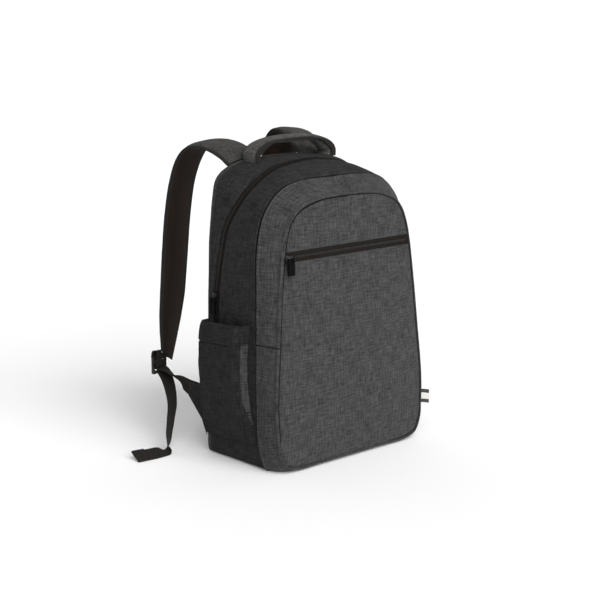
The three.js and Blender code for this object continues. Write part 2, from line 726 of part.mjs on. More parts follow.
// A slider on its zip with the puller hanging from it: away is out of the bag, pull the way
// in which the slider closes, and the puller hangs straight down
function slider(name, place, away, pull, fromZip) {
  const up = new THREE.Vector3(0, 0, 1);
  const side = new THREE.Vector3().crossVectors(pull, away).normalize();
  const body = add(name + '_slider', sliderGeometry(), sliderMetal);
  body.setRotationFromMatrix(new THREE.Matrix4().makeBasis(side, pull, away));
  body.position.copy(place).addScaledVector(away, fromZip);
  const hangSide = new THREE.Vector3().crossVectors(up, away).normalize();
  const hangUp = new THREE.Vector3().crossVectors(away, hangSide).normalize();
  const puller = add(name + '_puller', pullerGeometry(), mouldedBlack);
  puller.setRotationFromMatrix(new THREE.Matrix4().makeBasis(hangSide, hangUp, away));
  puller.position.copy(place)
    .addScaledVector(away, fromZip + sliderThickness + seamGap)
    .addScaledVector(hangUp, pullerOverlap - sliderLength / 2);
}

function sliders() {
  const main = seamAtHeight(mainZipSeam, mainSliderHeight);
  const above = mainZipSeam[main.index].place.clone().sub(main.place).normalize();
  slider('main_zip', main.place, new THREE.Vector3(-1, 0, 0), above, seamGap);
  const front = seamAtHeight(frontSeam, frontZipHeight).place;
  const lean = new THREE.Vector3(0, -1, frontLean / bagHeight).normalize();
  const start = front.clone().setX(front.x + clothWall + sliderLength / 2);
  slider('front_zip', start, lean, new THREE.Vector3(-1, 0, 0), seamGap);
}

// Side pockets: an open pouch that stands off each side panel
function sidePockets() {
  const sideAt = (height, depth) => {
    const back = seamAtHeight(leftSide(backSeam, sideRow, lastRow), height).place;
    const front = seamAtHeight(leftSide(middleSeam, sideRow, lastRow), height).place;
    return mix(-back.x, -front.x, (back.y - depth) / (back.y - front.y));
  };
  const sections = pocketRows.map((row) => {
    const height = mix(pocketBottom, pocketHeight, row.rise);
    const back = halfDepth - row.back * bagDepth;
    const front = halfDepth - row.front * bagDepth;
    const at = (point, inset) => {
      const y = mix(back, front, point.along) + inset.y;
      const out = sideAt(height, y) + seamGap + point.off * row.stand * pocketStand + inset.x;
      return new THREE.Vector3(-out, y, height);
    };
    const reach = pocketStand * row.stand;
    const outer = pouchPoints.map((point) => at(point, {
      x: clothWall * (point.off === 0 ? 0 : 1), y: 0
    }));
    const inner = pouchPoints.map((point) => at(
      { along: point.along, off: point.off * Math.max(1 - clothWall / reach, 0) },
      { x: 0, y: point.inner * clothWall }));
    return [...outer, ...inner.reverse()];
  });
  const pocket = solidLoft(sections);
  add('side_pocket_left', pocket, fabricSide);
  add('side_pocket_right', mirrored(pocket), fabricSide);
}

// Height of the bag's top between the back seam and the main zip
function topAt(x, y) {
  const heightOn = (seam) => {
    const i = seam.findIndex((edge, k) => k > 0 && edge.place.x >= x
      && seam[k - 1].place.x < x);
    const before = seam[i - 1].place;
    const after = seam[i].place;
    const share = (x - before.x) / (after.x - before.x);
    return { y: mix(before.y, after.y, share), z: mix(before.z, after.z, share) };
  };
  const back = heightOn(overCrown(backSeam, crossSeamRow));
  const zip = heightOn(mainZipSeam);
  return mix(back.z, zip.z, (back.y - y) / (back.y - zip.y));
}

function haulHandle() {
  const middle = halfDepth - handleBack;
  const depth = new THREE.Vector3(0, 1, 0);
  const half = handleRows.map((row) => ({
    place: new THREE.Vector3(-row.out * handleSpan / 2, middle,
      bagHeight + row.rise * handleRise),
    across: depth,
    width: row.width * handleWidth,
    thickness: row.pad * handlePad
  }));
  const otherHalf = half.slice(0, -1).reverse().map((row) => ({
    ...row, place: opposite(row.place)
  }));
  const arch = bandSections(smoothRows([...half, ...otherHalf], 1), bandShape);
  const foot = (section, x) => section.map((point, i) => {
    const y = middle + bandShape[i].u * handleWidth;
    const out = x + Math.sign(x) * bandShape[i].v * handlePad;
    return new THREE.Vector3(out, y, topAt(out, y) + gussetSwell + handleSeat);
  });
  const left = foot(arch[0], -handleSpan / 2);
  const right = foot(arch[arch.length - 1], handleSpan / 2);
  add('haul_handle', solidLoft([left, ...arch, right]), fabric);
}

// Everything on one side of the harness, built on the left and mirrored for the right
function strapRowsFor(reach, arch, end) {
  return strapRows.map((row) => ({
    place: new THREE.Vector3(-row.out * halfWidth,
      halfDepth + strapSeat + row.behind * reach,
      mix(end, bagHeight, row.rise) + row.arch * arch),
    across: turned(row.yaw, row.tilt),
    width: row.width * strapWidth,
    thickness: strapPad
  }));
}

function lockShape() {
  const frame = new THREE.Shape();
  const wide = lockWidth / 2;
  const tall = lockLength / 2;
  frame.moveTo(-wide, -tall);
  frame.lineTo(wide, -tall);
  frame.lineTo(wide, tall);
  frame.lineTo(-wide, tall);
  const slotWide = (webbingWidth + slotPlay) / 2;
  const slot = (low, high) => {
    const hole = new THREE.Path();
    hole.moveTo(-slotWide, low);
    hole.lineTo(-slotWide, high);
    hole.lineTo(slotWide, high);
    hole.lineTo(slotWide, low);
    frame.holes.push(hole);
  };
  slot(lockMiddleBar / 2, tall - lockBar);
  slot(-tall + lockBar, -lockMiddleBar / 2);
  return new THREE.ExtrudeGeometry(frame, { depth: lockThickness, bevelEnabled: false })
    .translate(0, 0, -lockThickness / 2);
}

function harness(side, reach, arch, end) {
  const put = (name, geometry, finish) => add(name + '_' + side,
    side === 'left' ? geometry : mirrored(geometry), finish);
  const rows = strapRowsFor(reach, arch, end);
  const smooth = smoothRows(rows, 2);
  const strap = bandSections(smooth, bandShape);
  strap[0].forEach((point) => point.setY(halfDepth + strapSeat));
  put('shoulder_strap', solidLoft(strap), fabric);

  // The lock hangs just outside the strap's lower end, turned a little from the back panel
  const strapEnd = rows[rows.length - 1].place;
  const across = turned(lockYaw, 0);
  const upward = new THREE.Vector3(0, 0, 1);
  const backward = new THREE.Vector3().crossVectors(upward, across);
  const lockCentre = strapEnd.clone().add(new THREE.Vector3(-lockAside, lockBehind, -lockDrop));
  const inLock = (up, back, aside = 0) => lockCentre.clone().addScaledVector(upward, up)
    .addScaledVector(backward, back).addScaledVector(across, aside);
  const lock = lockShape().applyMatrix4(new THREE.Matrix4()
    .makeBasis(across, upward, backward.clone().negate()).setPosition(lockCentre));
  put('ladder_lock', lock, mouldedBlack);

  const tape = (places, acrosses, steps) => tapeLoft(bandSections(smoothRows(
    places.map((place, i) => ({
      place, across: acrosses[i], width: webbingWidth, thickness: webbingThickness
    })), steps), tapeShape).map(onFloor));

  // Tab from the strap's end, behind the top bar and through the upper slot
  const clearOf = lockThickness / 2 + webbingThickness / 2 + lockGap;
  const slotTop = lockLength / 2 - lockBar;
  const last = smooth[smooth.length - 1];
  const down = last.place.clone().sub(smooth[smooth.length - 2].place).normalize();
  const endAcross = last.across.clone().addScaledVector(down, -last.across.dot(down)).normalize();
  const tabStart = strapEnd.clone().addScaledVector(down, seamGap)
    .addScaledVector(endAcross, (webbingWidth - last.width) / 2);
  const tabPlaces = tabRows.map((row) => inLock(
    slotTop + row.up * lockBar, row.back * clearOf, row.aside * lockWidth));
  const slanted = (share) => across.clone().lerp(endAcross, share).normalize();
  const tabBelow = tabStart.clone().addScaledVector(down, webbingThickness * 2);
  put('strap_tab', tape(
    [tabStart, tabBelow, tabBelow.clone().lerp(tabPlaces[0], 0.5), ...tabPlaces],
    [endAcross, endAcross, slanted(tabTurn), ...tabRows.map((row) => slanted(row.slant))],
    2), webbingBlack);

  // Lower webbing: from the wing, twisting on its way, out behind the lock and into its slot
  const slotLow = lockBar - lockLength / 2;
  const slotAt = (share) => mix(slotLow, -lockMiddleBar / 2, share);
  const wingEnd = new THREE.Vector3(
    -halfWidth, halfDepth + wingReach, wingHeight * wingEndHigh);
  const webOut = inLock(slotAt(webbingSeat), -clearOf);
  const wingAlong = webOut.clone().sub(wingEnd).normalize();
  const wingAcross = new THREE.Vector3(0, -wingAlong.z, wingAlong.y).normalize();
  const webStart = wingEnd.clone().addScaledVector(wingAlong, seamGap);
  const sideways = across.clone().negate();
  put('lower_webbing', tape([
    ...webbingRows.map((row) => webStart.clone().lerp(webOut, row.along)),
    webOut.clone().addScaledVector(wingAlong, clearOf)
  ], [
    ...webbingRows.map((row) => sideways.clone().lerp(wingAcross, row.upright).normalize()),
    sideways
  ], 3), webbingBlack);

  // Wing of cloth that holds the webbing at the lower corner of the back
  const seamY = halfDepth + seamGap;
  const corner = wingAcross.clone().multiplyScalar(webbingWidth / 2);
  const tipHigh = wingEnd.clone().add(corner);
  const tipLow = wingEnd.clone().sub(corner);
  const outline = new THREE.Shape([
    ...wingEdge.map(({ out, high }) => new THREE.Vector2(
      mix(seamY, tipLow.y, out), wingHeight * high)),
    new THREE.Vector2(tipLow.y, tipLow.z),
    new THREE.Vector2(tipHigh.y, tipHigh.z),
    new THREE.Vector2(seamY, wingHeight)
  ]);
  const wing = new THREE.ExtrudeGeometry(outline, {
    depth: wingThickness, bevelEnabled: false
  });
  wing.applyMatrix4(new THREE.Matrix4().makeBasis(new THREE.Vector3(0, 1, 0),
    new THREE.Vector3(0, 0, 1), new THREE.Vector3(1, 0, 0)));
  wing.translate(-halfWidth - wingThickness / 2, 0, 0);
  put('strap_wing', wing, fabric);

  // Loose end of the webbing: it drops from the lock and lies on the floor
  const tailStart = inLock(slotAt(tailSeat), -clearOf);
  const tailPlaces = tailRows.map((row) => {
    const lying = webbingWidth / 2 * Math.sin(row.tilt * degrees)
      + webbingThickness / 2 * Math.cos(row.tilt * degrees);
    return new THREE.Vector3(
      tailStart.x - row.aside * tailSpread,
      tailStart.y - row.forward * tailForward,
      Math.max(mix(tailStart.z, 0, row.drop), lying));
  });
  put('webbing_tail', tape(
    [inLock(slotAt(tailSeat), 0), ...tailPlaces],
    [across, ...tailRows.map((row) => turned(row.yaw, row.tilt))], 2), webbingBlack);
}

// Label loop sewn into the right of the front seam
function labelLoop() {
  const edge = Math.max(...[-0.5, 0, 0.5].map(
    (share) => -seamAtHeight(frontSeam, labelHeight + share * labelWidth).place.x));
  const out = [0, labelReach].map((distance) => ({
    place: new THREE.Vector3(edge + seamGap + distance,
      frontFace(labelHeight) + labelThickness / 2 + seamGap, labelHeight),
    across: new THREE.Vector3(0, 0, 1),
    width: labelWidth,
    thickness: labelThickness
  }));
  add('label_loop', solidLoft(bandSections(out, tapeShape)), labelWhite);
}

backPanel();
gussets();
frontPanels();
frontZip();
mainZip();
sliders();
sidePockets();
haulHandle();
harness('left', strapReachLeft, strapArchLeft, strapEndLeft);
harness('right', strapReachRight, strapArchRight, strapEndRight);
labelLoop();

export default backpack;
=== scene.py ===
# Laptop backpack: heather cloth body with a front pocket, zips, padded straps and webbing
import bpy
import bmesh
import json
import math
import numpy as np
from mathutils import Matrix, Vector
from mathutils.geometry import delaunay_2d_cdt

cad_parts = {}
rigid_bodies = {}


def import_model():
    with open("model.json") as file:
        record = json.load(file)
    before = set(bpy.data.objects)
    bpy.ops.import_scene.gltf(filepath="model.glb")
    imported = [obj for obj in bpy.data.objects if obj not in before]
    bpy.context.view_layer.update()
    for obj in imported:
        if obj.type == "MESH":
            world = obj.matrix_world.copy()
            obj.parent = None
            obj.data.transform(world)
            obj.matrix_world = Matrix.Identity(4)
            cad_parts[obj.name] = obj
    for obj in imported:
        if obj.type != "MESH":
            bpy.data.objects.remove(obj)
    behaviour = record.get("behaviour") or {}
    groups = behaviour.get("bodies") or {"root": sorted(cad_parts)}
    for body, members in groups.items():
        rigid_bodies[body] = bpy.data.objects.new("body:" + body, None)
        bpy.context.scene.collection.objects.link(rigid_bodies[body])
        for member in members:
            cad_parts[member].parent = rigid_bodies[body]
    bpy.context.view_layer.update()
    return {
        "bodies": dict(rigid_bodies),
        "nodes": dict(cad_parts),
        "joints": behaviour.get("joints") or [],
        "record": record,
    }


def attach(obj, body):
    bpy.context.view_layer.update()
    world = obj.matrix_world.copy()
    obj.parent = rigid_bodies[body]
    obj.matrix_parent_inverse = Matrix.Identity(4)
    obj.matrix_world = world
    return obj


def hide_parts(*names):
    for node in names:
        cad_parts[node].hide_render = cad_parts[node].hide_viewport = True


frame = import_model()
mm = 0.001

camera = {
    "azimuth": -42.334, "elevation": 11.848, "lens": 84.72,
    "place": (-1.445857, -1.549762, 0.674371)
}


def buildCamera():
    a, e = math.radians(camera["azimuth"]), math.radians(camera["elevation"])
    back = Vector((math.sin(a) * math.cos(e), -math.cos(a) * math.cos(e), math.sin(e)))
    right = Vector((math.cos(a), math.sin(a), 0))
    up = back.cross(right)
    view = bpy.data.cameras.new("photoCamera")
    view.lens = camera["lens"]
    view.sensor_width = 36
    view.clip_start = 0.01
    eye = bpy.data.objects.new("photoCamera", view)
    bpy.context.scene.collection.objects.link(eye)
    eye.matrix_world = Matrix((
        (right.x, up.x, back.x, camera["place"][0]),
        (right.y, up.y, back.y, camera["place"][1]),
        (right.z, up.z, back.z, camera["place"][2]),
        (0, 0, 0, 1)))
    bpy.context.scene.camera = eye


buildCamera()


# Shader maths as plain expressions: a socket adds its Math node when it meets an operator
class Socket:
    def __init__(self, graph, link):
        self.graph, self.link = graph, link

    def math(self, operation, *values):
        return self.graph.node("Math", {"operation": operation}, dict(enumerate(values)))

    def __add__(self, other):
        return self.math("ADD", self, other)

    def __sub__(self, other):
        return self.math("SUBTRACT", self, other)

    def __mul__(self, other):
        return self.math("MULTIPLY", self, other)

    def __rmul__(self, other):
        return self.math("MULTIPLY", other, self)

    def sine(self):
        return self.math("SINE", self)


class Graph:
    def __init__(self, name):
        self.material = bpy.data.materials.new(name)
        self.material.use_nodes = True
        self.tree = self.material.node_tree
        self.shader = self.tree.nodes["Principled BSDF"]

    def node(self, kind, settings, values, out=0):
        made = self.tree.nodes.new("ShaderNode" + kind)
        for key, value in settings.items():
            if key == "stops":
                ramp = made.color_ramp
                ramp.elements[1].position = value[-1][0]
                ramp.elements[0].position = value[0][0]
                for place, _ in value[1:-1]:
                    ramp.elements.new(place)
                for element, (_, shade) in zip(ramp.elements, value):
                    element.color = (shade, shade, shade, 1)
            else:
                setattr(made, key, value)
        for key, value in values.items():
            self.feed(made.inputs[key], value)
        return Socket(self, made.outputs[out])

    def feed(self, entry, value):
        if isinstance(value, Socket):
            self.tree.links.new(value.link, entry)
        elif entry.type == "RGBA":
            entry.default_value = (*value, 1)
        else:
            entry.default_value = value

    def finish(self, **values):
        for key, value in values.items():
            self.feed(self.shader.inputs[key.replace("_", " ")], value)
        return self.material

    def place(self, onMap=True):
        if onMap:
            return self.node("UVMap", {"uv_map": "clothMap"}, {})
        return self.node("TexCoord", {}, {}, out=3)

    def scaled(self, place, scale, turn=(0.0, 0.0, 0.0)):
        return self.node("Mapping", {}, {"Vector": place, "Rotation": turn, "Scale": scale})

    def noise(self, place, scale, detail=2.0, roughness=0.5):
        return self.node("TexNoise", {}, {
            "Vector": place, "Scale": scale, "Detail": detail, "Roughness": roughness})

    def mix(self, factor, first, second, blend="MIX"):
        return self.node("Mix", {"data_type": "RGBA", "blend_type": blend},
                         {0: factor, 6: first, 7: second}, out=2)

    def axes(self, place):
        split = self.node("SeparateXYZ", {}, {"Vector": place})
        return [Socket(self, split.link.node.outputs[i]) for i in range(3)]

    def bump(self, height, strength, distance):
        return self.node("Bump", {}, {
            "Strength": strength, "Distance": distance, "Height": height})

    def ramp(self, value, stops):
        return self.node("ValToRGB", {"stops": stops}, {"Fac": value})


# Heather cloth: slubs along both thread directions over a fine plain weave
def heather(name, dark, light, sheen=0.05):
    g = Graph(name)
    place = g.place()
    warp = g.noise(g.scaled(place, (430.0, 55.0, 430.0)), 1.0, 2.5, 0.6)
    weft = g.noise(g.scaled(place, (50.0, 460.0, 50.0)), 1.0, 2.5, 0.6)
    cloud = g.noise(place, 38.0, 3.0)
    ends = ((0.33, 0.0), (0.68, 1.0))
    slubs = g.ramp(warp, ends) * 0.5 + g.ramp(weft, ends) * 0.5
    tone = g.ramp(cloud, ((0.3, 0.78), (0.7, 1.0)))
    x, y, z = g.axes(g.scaled(place, (2 * math.pi / 0.0011,) * 3))
    height = x.sine() * y.sine() * 0.5 + slubs * 0.8 + cloud * 0.5
    return g.finish(Base_Color=g.mix(1.0, g.mix(slubs, dark, light), tone, "MULTIPLY"),
                    Roughness=0.92, Sheen_Weight=sheen, Sheen_Roughness=0.5,
                    Specular_IOR_Level=0.04, Normal=g.bump(height, 0.55, 0.0005))


# Ribbed tape: fine ribs across, lighter on the raised threads and darker between them
def ribbed(name, dark, light, pitch, rough=0.8, depth=0.0004):
    g = Graph(name)
    place = g.place()
    x, y, z = g.axes(place)
    wander = g.noise(place, 260.0, 2.0)
    ribs = (y * (2 * math.pi / pitch)).sine() * 0.5 + 0.5
    cross = (x * (2 * math.pi / 0.0016)).sine() * 0.5 + 0.5
    threads = ribs * 0.6 + cross * 0.25 + wander * 0.3
    return g.finish(Base_Color=g.mix(threads, dark, light), Roughness=rough,
                    Sheen_Weight=0.02, Specular_IOR_Level=0.08,
                    Normal=g.bump(threads, 0.6, depth))


# Spacer mesh of the back and of the straps' inner side: small round holes in rows
def spacerMesh(name, dark, light, pitch, onMap=True, paintedLightBand=0.0):
    g = Graph(name)
    place = g.place(onMap)
    turn = (0.0, 0.0, 0.0) if onMap else (math.pi / 2, 0.0, 0.0)
    x, y, z = g.axes(g.scaled(place, (2 * math.pi / pitch,) * 3, turn))
    holes = (x + y).sine() * (x - y).sine()
    cells = g.ramp(holes * 0.5 + 0.5, ((0.30, 0.0), (0.62, 1.0)))
    fuzz = g.noise(place, 420.0, 3.0)
    wide = g.noise(place, 30.0, 2.0)
    tone = cells * 0.45 + fuzz * 0.25 + wide * 0.2
    # painted light: a broad band across the width, lightest right of the middle, standing in for
    # the light on a lengthwise bulge
    if paintedLightBand:
        across = g.axes(place)[0] * (1 / 0.065) + 0.5
        tone = tone + paintedLightBand * g.ramp(across, ((0.10, 0.3), (0.30, 0.0), (0.52, 0.5), (0.68, 1.0),
                                               (0.82, 0.3), (0.95, 0.0)))
    return g.finish(Base_Color=g.mix(tone, dark, light), Roughness=0.93, Sheen_Weight=0.03,
                    Specular_IOR_Level=0.1, Normal=g.bump(tone, 0.6, 0.0007))


def moulded(name, shade, rough, shine=0.35):
    g = Graph(name)
    place = g.place(False)
    grain = g.noise(place, 1400.0, 3.0)
    worn = g.noise(place, 120.0, 3.0)
    return g.finish(Base_Color=g.mix(worn, tuple(s * 0.8 for s in shade), shade),
                    Roughness=g.ramp(worn, ((0.3, rough - 0.08), (0.7, rough + 0.1))),
                    Specular_IOR_Level=shine, Normal=g.bump(grain, 0.15, 0.0002))


def metal(name, shade, rough):
    g = Graph(name)
    place = g.place(False)
    brushed = g.noise(g.scaled(place, (300.0, 300.0, 3000.0)), 1.0, 2.0)
    return g.finish(Base_Color=g.mix(brushed, tuple(s * 0.75 for s in shade), shade),
                    Metallic=1.0, Roughness=g.ramp(brushed, ((0.3, rough), (0.7, rough + 0.15))),
                    Normal=g.bump(brushed, 0.08, 0.0001))


def stripedLabel(name, dark, light):
    g = Graph(name)
    place = g.place()
    x, y, z = g.axes(place)
    band = g.ramp(y * (1 / 0.022), ((0.0, 0.0), (0.26, 0.0), (0.28, 1.0), (0.72, 1.0),
                                    (0.74, 0.0), (1.0, 0.0)))
    threads = (y * (2 * math.pi / 0.0007)).sine() * (x * (2 * math.pi / 0.0007)).sine()
    return g.finish(Base_Color=g.mix(band, dark, light), Roughness=0.85, Sheen_Weight=0.2,
                    Normal=g.bump(threads, 0.4, 0.0002))


def paper(name, shade):
    g = Graph(name)
    grain = g.noise(g.place(False), 60.0, 2.0)
    return g.finish(Base_Color=g.mix(grain, tuple(s * 0.995 for s in shade), shade),
                    Roughness=0.9, Specular_IOR_Level=0.1)


def grey(shade):
    return (shade, shade, shade)


finishes = {
    "front": heather("frontHeather", grey(0.016), grey(0.0765)),
    "side": heather("sideHeather", (0.0078, 0.0078, 0.0077), (0.039, 0.039, 0.0385),
                    sheen=0.02),
    # pocket: a darker copy of the side cloth for the side pockets: painted shade
    "pocket": heather("pocketShadedHeather", (0.0064, 0.0064, 0.0063), (0.032, 0.032, 0.0316),
                      sheen=0.02),
    "strap": heather("strapHeather", (0.014, 0.0136, 0.0132), (0.078, 0.0755, 0.072)),
    # handle: a lighter copy of the front cloth for the haul handle: painted light
    "handle": heather("handleLitHeather", (0.023, 0.0224, 0.0218), (0.125, 0.121, 0.117)),
    # the strap lining carries the painted light band along its length
    "lining": spacerMesh("brownSpacer", (0.004, 0.0025, 0.0018), (0.024, 0.0155, 0.0115), 0.0026,
                         paintedLightBand=0.55),
    "backMesh": spacerMesh("backSpacer", grey(0.012), (0.062, 0.060, 0.058), 0.0042,
                           False),
    "binding": ribbed("edgeBinding", (0.006, 0.0056, 0.0054), (0.026, 0.0245, 0.0235), 0.0009),
    "webbing": ribbed("blackWebbing", (0.004, 0.0036, 0.0032), (0.024, 0.021, 0.018), 0.0017),
    "zipTape": ribbed("zipTapeWeave", (0.0035, 0.0026, 0.0022), (0.0125, 0.0092, 0.0078), 0.0008,
                      0.75, 0.0002),
    "coil": moulded("coilNylon", (0.008, 0.0065, 0.006), 0.45),
    "plastic": moulded("lockPlastic", grey(0.010), 0.36),
    "puller": moulded("pullerRubber", (0.0022, 0.002, 0.0019), 0.6, 0.05),
    "metal": metal("sliderGunmetal", grey(0.05), 0.34),
    "thread": moulded("sewingThread", (0.030, 0.030, 0.032), 0.6),
    # seam: near-black cloth laid on faces in and beside the seams, on the hidden inner layers and
    # on the rim walls: painted shade of the seam valleys
    "seam": ribbed("paintedSeamShade", grey(0.003), (0.010, 0.0095, 0.009), 0.0009),
    "label": stripedLabel("wovenLabel", grey(0.005), (0.50, 0.49, 0.46))
}

lattice = np.random.default_rng(7).random((64, 64)) * 2 - 1


# Smooth unevenness between -1 and 1 over a surface measured in metres
def uneven(u, v, size, shift=0):
    x, y = u / size + 31.7 * shift, v / size + 17.3 * shift
    i, j = np.floor(x).astype(int), np.floor(y).astype(int)
    fx, fy = x - i, y - j
    fx, fy = fx * fx * (3 - 2 * fx), fy * fy * (3 - 2 * fy)
    low = lattice[i % 64, j % 64] * (1 - fx) + lattice[(i + 1) % 64, j % 64] * fx
    high = lattice[i % 64, (j + 1) % 64] * (1 - fx) + lattice[(i + 1) % 64, (j + 1) % 64] * fx
    return low * (1 - fy) + high * fy


def bell(value, middle, width):
    return np.exp(-((value - middle) / width) ** 2)


def unit(vectors):
    return vectors / np.linalg.norm(vectors, axis=-1, keepdims=True)


# Smooth curve through points, eased by the square root of their distances
def spline(points, steps, closed=False):
    points = np.array(points, float)
    first, last = points[-1:], points[:2]
    if not closed:
        first, last = 2 * points[:1] - points[1:2], 2 * points[-1:] - points[-2:-1]
    points = np.concatenate([first, points, last])
    t = np.arange(steps)[:, None] / steps
    pieces = []
    for p0, p1, p2, p3 in zip(points, points[1:], points[2:], points[3:]):
        d0, d1, d2 = (max(np.linalg.norm(b - a), 1e-9) ** 0.5
                      for a, b in ((p0, p1), (p1, p2), (p2, p3)))
        t1 = ((p1 - p0) / d0 - (p2 - p0) / (d0 + d1) + (p2 - p1) / d1) * d1
        t2 = ((p2 - p1) / d1 - (p3 - p1) / (d1 + d2) + (p3 - p2) / d2) * d1
        pieces.append(p1 + t1 * t + (3 * (p2 - p1) - 2 * t1 - t2) * t ** 2
                      + (2 * (p1 - p2) + t1 + t2) * t ** 3)
    if not closed:
        pieces.append(points[-2:-1])
    return np.concatenate(pieces)


def runOf(points):
    return np.concatenate([[0], np.cumsum(np.linalg.norm(np.diff(points, axis=0), axis=1))])


# Values along a path of this run, at the wanted distances
def atRun(values, run, wanted):
    return np.stack([np.interp(wanted, run, column) for column in values.T], 1)


def evenly(points, spacing):
    run = runOf(points)
    wanted = np.linspace(0, run[-1], max(int(round(run[-1] / spacing)), 1) + 1)
    return atRun(points, run, wanted)


# Faces of a closed shell over a grid of n by m points, its inner layer numbered after it
def shellFaces(n, m):
    index = np.arange(n * m).reshape(n, m)
    outer = np.stack([index[:-1, :-1], index[1:, :-1], index[1:, 1:], index[:-1, 1:]], -1)
    outer = outer.reshape(-1, 4)
    rim = np.concatenate([index[0], index[1:, -1], index[-1, -2::-1], index[-2:0:-1, 0]])
    after = np.roll(rim, -1)
    side = np.stack([rim, after, after + n * m, rim + n * m], -1)
    return np.concatenate([outer, outer[:, ::-1] + n * m, side])


def inside(corners, faces):
    total = 0.0
    for k in range(1, faces.shape[1] - 1):
        a, b, c = corners[faces[:, 0]], corners[faces[:, k]], corners[faces[:, k + 1]]
        total += np.einsum("ij,ij->", a, np.cross(b, c))
    return total


# Makes a mesh piece from corners, groups of equal faces and a map in metres for its pattern
def meshPiece(name, corners, groups, flat, finish, faceFinish=None, angle=42):
    corners = np.asarray(corners, float)
    groups = [np.asarray(group, int) for group in groups if len(group)]
    if sum(inside(corners, group) for group in groups) < 0:
        groups = [group[:, ::-1] for group in groups]
    mesh = bpy.data.meshes.new(name)
    mesh.from_pydata(corners.tolist(), [], [face for group in groups for face in group.tolist()])
    for part in (finish if isinstance(finish, (list, tuple)) else [finish]):
        mesh.materials.append(finishes[part])
    layer = mesh.uv_layers.new(name="clothMap")
    loops = np.concatenate([group.ravel() for group in groups])
    flat = np.resize(flat, (len(corners), 2))  # an inner layer has the map of its outer one
    layer.data.foreach_set("uv", flat[loops].ravel())
    if faceFinish is not None:
        mesh.polygons.foreach_set("material_index", np.asarray(faceFinish, np.int32))
    piece = bpy.data.objects.new(name, mesh)
    bpy.context.scene.collection.objects.link(piece)
    smooth(piece, angle)
    return piece


def onlyThis(piece):
    bpy.ops.object.select_all(action="DESELECT")
    piece.select_set(True)
    bpy.context.view_layer.objects.active = piece


def smooth(piece, angle):
    onlyThis(piece)
    bpy.ops.object.shade_smooth_by_angle(angle=math.radians(angle))


def belong(piece, slot, *nodes):
    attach(piece, "root")
    if nodes:
        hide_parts(*nodes)


# Piece from a grid of outer places, one of inner places and their map; kind has 1 where the
# outer faces take the other finish. With the seam finish the inner layer and the rim walls take
# it as well: painted seam shade
def shellPiece(name, shell, finish, slot, node, kind=None, other="seam"):
    outer, inner, flat = shell[:3]
    faces = shellFaces(*outer.shape[:2])
    kinds = None
    if kind is not None:
        kinds = np.full(len(faces), int(other == "seam"))
        kinds[:kind.size] = kind.ravel()
    corners = np.concatenate([outer.reshape(-1, 3), inner.reshape(-1, 3)])
    both = finish if kind is None else [finish, other]
    belong(meshPiece(name, corners, [faces], flat.reshape(-1, 2), both, kinds), slot, node)


# Places made for the left, as they are or mirrored to the right
def sided(side, places):
    return places if side == "left" else places * np.array([-1, 1, 1])


cushion = {"pressure": 4.0, "bending": 0.3, "quality": 4, "frames": 20}


# Puffs padded cloth by air pressure in the cloth solver, held at its seams; no point goes
# further than the cap
def puff(piece, held, cap):
    mesh, scene = piece.data, bpy.context.scene
    rest = np.empty(len(mesh.vertices) * 3, np.float32)
    mesh.vertices.foreach_get("co", rest)
    piece.vertex_groups.new(name="held").add(np.flatnonzero(held).tolist(), 1.0, "REPLACE")
    solver = piece.modifiers.new("padding", "CLOTH")
    solver.settings.use_pressure = True
    solver.settings.uniform_pressure_force = cushion["pressure"]
    solver.settings.effector_weights.gravity = 0
    solver.settings.vertex_group_mass = "held"
    solver.settings.bending_stiffness = cushion["bending"]
    solver.settings.quality = cushion["quality"]
    solver.point_cache.frame_start, solver.point_cache.frame_end = 1, cushion["frames"]
    for frame in range(1, cushion["frames"] + 1):
        scene.frame_set(frame)
    solved = piece.evaluated_get(bpy.context.evaluated_depsgraph_get()).data
    moved = np.empty_like(rest)
    solved.vertices.foreach_get("co", moved)
    piece.modifiers.remove(solver)
    piece.vertex_groups.clear()
    scene.frame_set(1)
    way = (moved - rest).reshape(-1, 3)
    length = np.linalg.norm(way, axis=1, keepdims=True)
    print(piece.name, "puffed by", round(float(length.max()) * 1000, 2), "mm")
    way = way * (cap * np.tanh(length / cap) / np.maximum(length, 1e-9))
    mesh.vertices.foreach_set("co", (rest.reshape(-1, 3) + way).ravel().astype(np.float32))
    mesh.update()


# Many small closed rods from starts to ends, as for stitches and zip teeth
def rods(starts, ends, ups, wide, high, sides=6):
    along = unit(ends - starts)
    beside = unit(np.cross(along, ups))
    above = np.cross(beside, along)
    length = np.linalg.norm(ends - starts, axis=1)
    turns = np.arange(sides) / sides * 2 * math.pi
    rings = []
    for share, size in ((0.0, 0.45), (0.16, 1.0), (0.84, 1.0), (1.0, 0.45)):
        middle = starts + along * (length * share)[:, None]
        rings.append(middle[:, None, :]
                     + (np.cos(turns) * wide * size)[None, :, None] * beside[:, None, :]
                     + (np.sin(turns) * high * size)[None, :, None] * above[:, None, :])
    corners = np.stack(rings, 1).reshape(-1, 3)
    ring = np.arange(sides)
    after = np.roll(ring, -1)
    band = np.stack([ring, after, after + sides, ring + sides], 1)
    walls = np.concatenate([band, band + sides, band + 2 * sides])
    caps = np.array([ring[::-1], ring + 3 * sides])
    shift = (np.arange(len(starts)) * sides * 4)[:, None, None]
    return corners, [(walls + shift).reshape(-1, 4), (caps + shift).reshape(-1, sides)]


stitch = {"pitch": 3.6 * mm, "length": 2.5 * mm, "wide": 0.24 * mm, "high": 0.22 * mm,
          "lift": 0.12 * mm}
stitchParts = []


